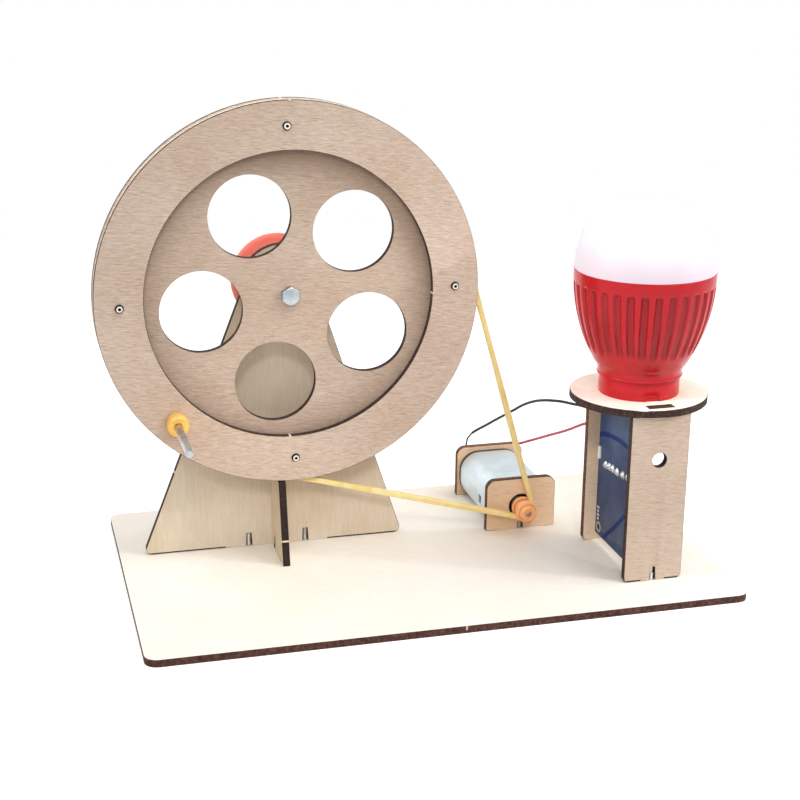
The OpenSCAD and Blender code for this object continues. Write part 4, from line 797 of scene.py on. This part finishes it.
def placeRingScrews(s):
    long = s["rear"] - s["front"]
    hole, bright, head, shank = s["socket"], s["bright"], s["head"], s["shank"]
    profile = [(0, 0.7), (hole, 0.7), (hole, 0.08), (hole + 0.1, 0), (bright - 0.08, 0.02), (bright, 0.1), (1.45, 0.3),
               (head, 0.6), (head, 1.1), (head - 0.1, 1.2), (shank, 1.2), (shank, long - 0.2), (shank - 0.2, long),
               (0, long)]
    first = turnedPiece("ringScrew", profile, (0, s["front"], 0), 36, lying=True)
    for material in (screwZinc, paintedShade):
        first.data.materials.append(material)
    for face in first.data.polygons:  # painted shade: the driving socket and the head's outer edge are painted dark
        middle = face.center / mm
        radius = math.hypot(middle.x, middle.z)
        if middle.y < s["front"] + 1 and (radius < hole + 0.02 or radius > bright):
            face.material_index = 1
    made = [copyTo(first, (x, 0, z)) for x, z in ringSpots]
    bpy.data.objects.remove(first)
    finishPiece(joinPieces(made, "ringScrewSet"), [], "wheel", ["wheel_screws"], 35)


placeRingScrews(ringScrews)

axleBolt = {"place": (wheelX, 6.4, wheelZ), "flats": 6.8, "head": 2.6, "shank": 2.0, "end": 42.6, "tip": 0.4,
            "ease": 0.12}


def makeAxleBolt(s):
    x, y, z = s["place"]
    flat, high = s["flats"] / 2, s["head"]
    bpy.ops.mesh.primitive_cylinder_add(vertices=6, radius=flat / math.cos(math.pi / 6) * mm, depth=high * mm,
                                        location=(x * mm, (y + high / 2) * mm, z * mm), rotation=(-math.pi / 2, 0, 0))
    head = bpy.context.object
    holdOnly(head)
    bpy.ops.object.transform_apply(location=True, rotation=True, scale=True)
    bell = [(0, 0), (flat - 0.15, 0), (flat + 0.75, 0.6), (flat + 0.75, high + 0.1), (0, high + 0.1)]
    crown = turnedPiece("boltCrown", bell, s["place"], 48, lying=True)
    holdOnly(head)
    trim = head.modifiers.new("crown", "BOOLEAN")
    trim.operation = "INTERSECT"
    trim.object = crown
    bpy.ops.object.modifier_apply(modifier="crown")
    bpy.data.objects.remove(crown)
    easeEdges(head, s["ease"], 2, 20)
    long, tip, shank = s["end"] - y, s["tip"], s["shank"]
    rod = [(0, high - tip), (shank, high - tip), (shank, long - tip), (shank - tip, long), (0, long)]
    stem = turnedPiece("boltShank", rod, s["place"], 40, lying=True)
    return finishPiece(joinPieces([head, stem], "axleBolt"), [steel], "wheel", ["wheel_axle"], 30)


makeAxleBolt(axleBolt)
print("fasteners made")

boardMarks = {
    "face": 79.6,  # X of the board's left face, mm
    "proud": 0.06, "sheet": 0.1,  # what the prints stand proud, and their thickness
    "traces": [  # (Y, Z) points and width
        ([(-5.2, 50.6), (-9, 52.2), (-15.2, 53.5), (-20, 54.2), (-24, 54.6), (-29, 54.8), (-34, 54.7), (-40, 54.1),
          (-46, 52.6)], 2.0),
        ([(-13.4, 7.2), (-23.8, 15.6), (-33.3, 24.1), (-46, 35.2)], 1.9),
    ],
    "pads": [(-12.5, 39.6), (-16.4, 40.2), (-20.1, 40.6), (-24.9, 40.9), (-30.6, 41.6), (-36, 42.4), (-41, 43)],
    "dome": [(0, 1.2), (0.55, 1.1), (1.15, 0.65), (1.5, 0.18), (1.75, 0.02), (1.75, -0.1), (0, -0.1)],
    "holes": [(-8.1, 10.1), (-43.4, 10.1)],
    "holeRing": [(1.35, -0.1), (1.35, 0.06), (1.5, 0.12), (2.35, 0.1), (2.5, 0.03), (2.5, -0.1)],
    "bars": [(-7, 18.6, 2.2), (-7, 16.9, 1.6), (-7, 15.2, 2.2), (-7, 13.5, 1.6)],  # plain printed bars: Y, Z, length
    "barTall": 0.9,
    "connector": (-6.5, 43.2, 1.6, 5.4, 1.1),  # Y, Z, wide, tall, proud
}


def boardStrip(name, line, wide, s):
    points, faces = [], []
    spots = [Vector((y, z)) for y, z in line]
    for i, spot in enumerate(spots):
        way = (spots[min(i + 1, len(spots) - 1)] - spots[max(i - 1, 0)]).normalized()
        side = Vector((-way.y, way.x)) * wide / 2
        for p in (spot + side, spot - side):
            points.append(Vector((s["face"] - s["proud"], p.x, p.y)) * mm)
    for i in range(len(spots) - 1):
        faces.append((2 * i, 2 * i + 2, 2 * i + 3, 2 * i + 1))
    piece = newPiece(name, points, [], faces)
    inward = {"TRANSFORM_OT_translate": {"value": (s["sheet"] * mm, 0, 0)}}
    workMesh(piece, (bpy.ops.mesh.extrude_region_move, inward), outward)
    return piece


def dressBoard(s):
    face = s["face"]
    lines = [boardStrip("trace", line, wide, s) for line, wide in s["traces"]]
    finishPiece(joinPieces(lines, "boardTraces"), [traceBlue], "frame", (), 0)
    made = []
    for spots, profile, steps, closed in ((s["pads"], s["dome"], 28, False), (s["holes"], s["holeRing"], 36, True)):
        first = turnedPiece("solder", profile, (0, 0, 0), steps, closed=closed)
        first.data.transform(Matrix.Rotation(-math.pi / 2, 4, "Y"))  # point it out of the left face
        made += [copyTo(first, (face, y, z)) for y, z in spots]
        bpy.data.objects.remove(first)
    finishPiece(joinPieces(made, "boardSolder"), [tinnedCopper], "frame", (), 40)
    bars = [boardStrip("bar", [(y - long / 2, z), (y + long / 2, z)], s["barTall"], s) for y, z, long in s["bars"]]
    y, z, wide, tall, proud = s["connector"]
    bpy.ops.mesh.primitive_cube_add(size=1, location=((face - proud / 2 + 0.05) * mm, y * mm, z * mm),
                                    scale=(proud * mm, wide * mm, tall * mm))
    block = bpy.context.object
    holdOnly(block)
    bpy.ops.object.transform_apply(location=True, rotation=True, scale=True)
    workMesh(block, (bpy.ops.mesh.bevel, {"offset": 0.2 * mm, "segments": 2, "affect": "EDGES"}))
    finishPiece(joinPieces(bars + [block], "boardPrint"), [whitePlastic], "frame", (), 30)


dressBoard(boardMarks)

leadSolder = {
    "spots": [(42.2, 64.6, 18.3), (62.6, 64.6, 18.3)],
    "blob": [(0, 1.5), (0.42, 1.45), (0.6, 0.9), (0.95, 0.4), (1.1, 0.05), (1.0, -0.4), (0, -0.5)],
}


def solderLeads(s):
    blob = turnedPiece("leadBlob", s["blob"], (0, 0, 0), 24)
    made = [copyTo(blob, spot) for spot in s["spots"]]
    bpy.data.objects.remove(blob)
    finishPiece(joinPieces(made, "leadSolder"), [tinnedCopper], "frame", (), 45)


solderLeads(leadSolder)
print("board dressed")

stage = {
    "size": 6.0, "skyLow": 0.15, "skyHigh": 0.88,  # level near the horizon and overhead
    "paperLift": 0.55, "paperBounce": 0.6,  # what the paper adds to the eye, and throws back from afar
    "softboxes": {  # power, size, place
        "keySoftbox": (8.2, 0.8, (0.62, -0.3, 1.0)),
        "fillSoftbox": (2.2, 1.0, (-0.2, -0.8, 0.9)),
        "backSoftbox": (1.4, 0.8, (-0.45, 0.6, 0.6)),
    },
    "spots": {  # power, cone in degrees, radius of the lamp, place, aim
        "lampSpot": (160, 5, 0.08, (-0.95, -0.06, 0.7), (0.086, -0.026, 0.112)),
        "rimSpot": (100, 4.6, 0.08, (1.07, -0.51, 0.6), (0.086, -0.026, 0.116)),
        "motorSpot": (60, 12, 0.2, (-0.12, -0.85, 0.62), (0.05, -0.015, 0.01)),
    },
}


def aimLight(name, lamp, place, aim):
    holder = bpy.data.objects.new(name, lamp)
    holder.location = place
    holder.rotation_euler = (Vector(aim) - Vector(place)).to_track_quat("-Z", "Y").to_euler()
    bpy.context.scene.collection.objects.link(holder)


def makeStage(s):
    white = (1, 1, 1, 1)
    bpy.ops.mesh.primitive_plane_add(size=s["size"], location=(0, 0, 0))
    floor = bpy.context.object
    floor.name = "studioFloor"
    material, tree = newMaterial("white_paper_sweep")  # seamless white paper: matt, with the object's soft shadow
    rays = addNode(tree, "LightPath")
    seen = addNode(tree, "Math", {"operation": "MAXIMUM"},
                   {0: rays.outputs["Is Camera Ray"], 1: rays.outputs["Is Glossy Ray"]})
    lift = addNode(tree, "Math", {"operation": "MULTIPLY", 1: s["paperLift"]}, {0: seen})
    paper = addNode(tree, "BsdfDiffuse", {"Color": "#DCDCDB"})
    glow = addNode(tree, "Emission", {"Color": white}, {"Strength": lift})
    both = addNode(tree, "AddShader", {}, {0: paper, 1: glow})
    place = addNode(tree, "TexCoord").outputs["Object"]
    away = addNode(tree, "VectorMath", {"operation": "LENGTH"}, {0: place})
    far = addNode(tree, "MapRange", {"interpolation_type": "SMOOTHSTEP", "From Min": 0.3, "From Max": 0.7},
                  {"Value": away})
    bounce = addNode(tree, "MapRange", {"To Min": s["paperBounce"], "To Max": 1.0}, {"Value": seen})
    sweep = addNode(tree, "Emission", {"Color": white}, {"Strength": bounce})  # runs on into white
    paperEnd = addNode(tree, "MixShader", {}, {0: far, 1: both, 2: sweep})
    addNode(tree, "OutputMaterial", {}, {"Surface": paperEnd})
    floor.data.materials.append(material)
    world = bpy.data.worlds.new("studio")
    bpy.context.scene.world = world
    world.use_nodes = True
    tree = world.node_tree
    tree.nodes.clear()
    rays = addNode(tree, "LightPath")
    seen = addNode(tree, "Math", {"operation": "MAXIMUM"},
                   {0: rays.outputs["Is Camera Ray"], 1: rays.outputs["Is Glossy Ray"]})
    through = addNode(tree, "Math", {"operation": "MAXIMUM"}, {0: seen, 1: rays.outputs["Is Transmission Ray"]})
    axes = addNode(tree, "SeparateXYZ", {}, {"Vector": addNode(tree, "TexCoord").outputs["Generated"]})
    glow = addNode(tree, "MapRange", {"To Min": s["skyLow"], "To Max": s["skyHigh"]}, {"Value": axes.outputs["Z"]})
    level = addNode(tree, "MapRange", {"To Max": 1.0}, {"Value": through, "To Min": glow})
    sky = addNode(tree, "Background", {"Color": white}, {"Strength": level})
    addNode(tree, "OutputWorld", {}, {"Surface": sky})
    for name, (power, size, place) in s["softboxes"].items():
        lamp = bpy.data.lights.new(name, "AREA")
        lamp.shape = "SQUARE"
        lamp.size = size
        lamp.energy = power
        aimLight(name, lamp, place, (0, 0, 0.06))
    for name, (power, cone, soft, place, aim) in s["spots"].items():
        lamp = bpy.data.lights.new(name, "SPOT")
        lamp.energy = power
        lamp.spot_size = math.radians(cone)
        lamp.spot_blend = 1.0
        lamp.shadow_soft_size = soft
        aimLight(name, lamp, place, aim)
    bpy.context.scene.view_settings.view_transform = "Standard"


makeStage(stage)
print("stage lit")

bpy.context.view_layer.update()
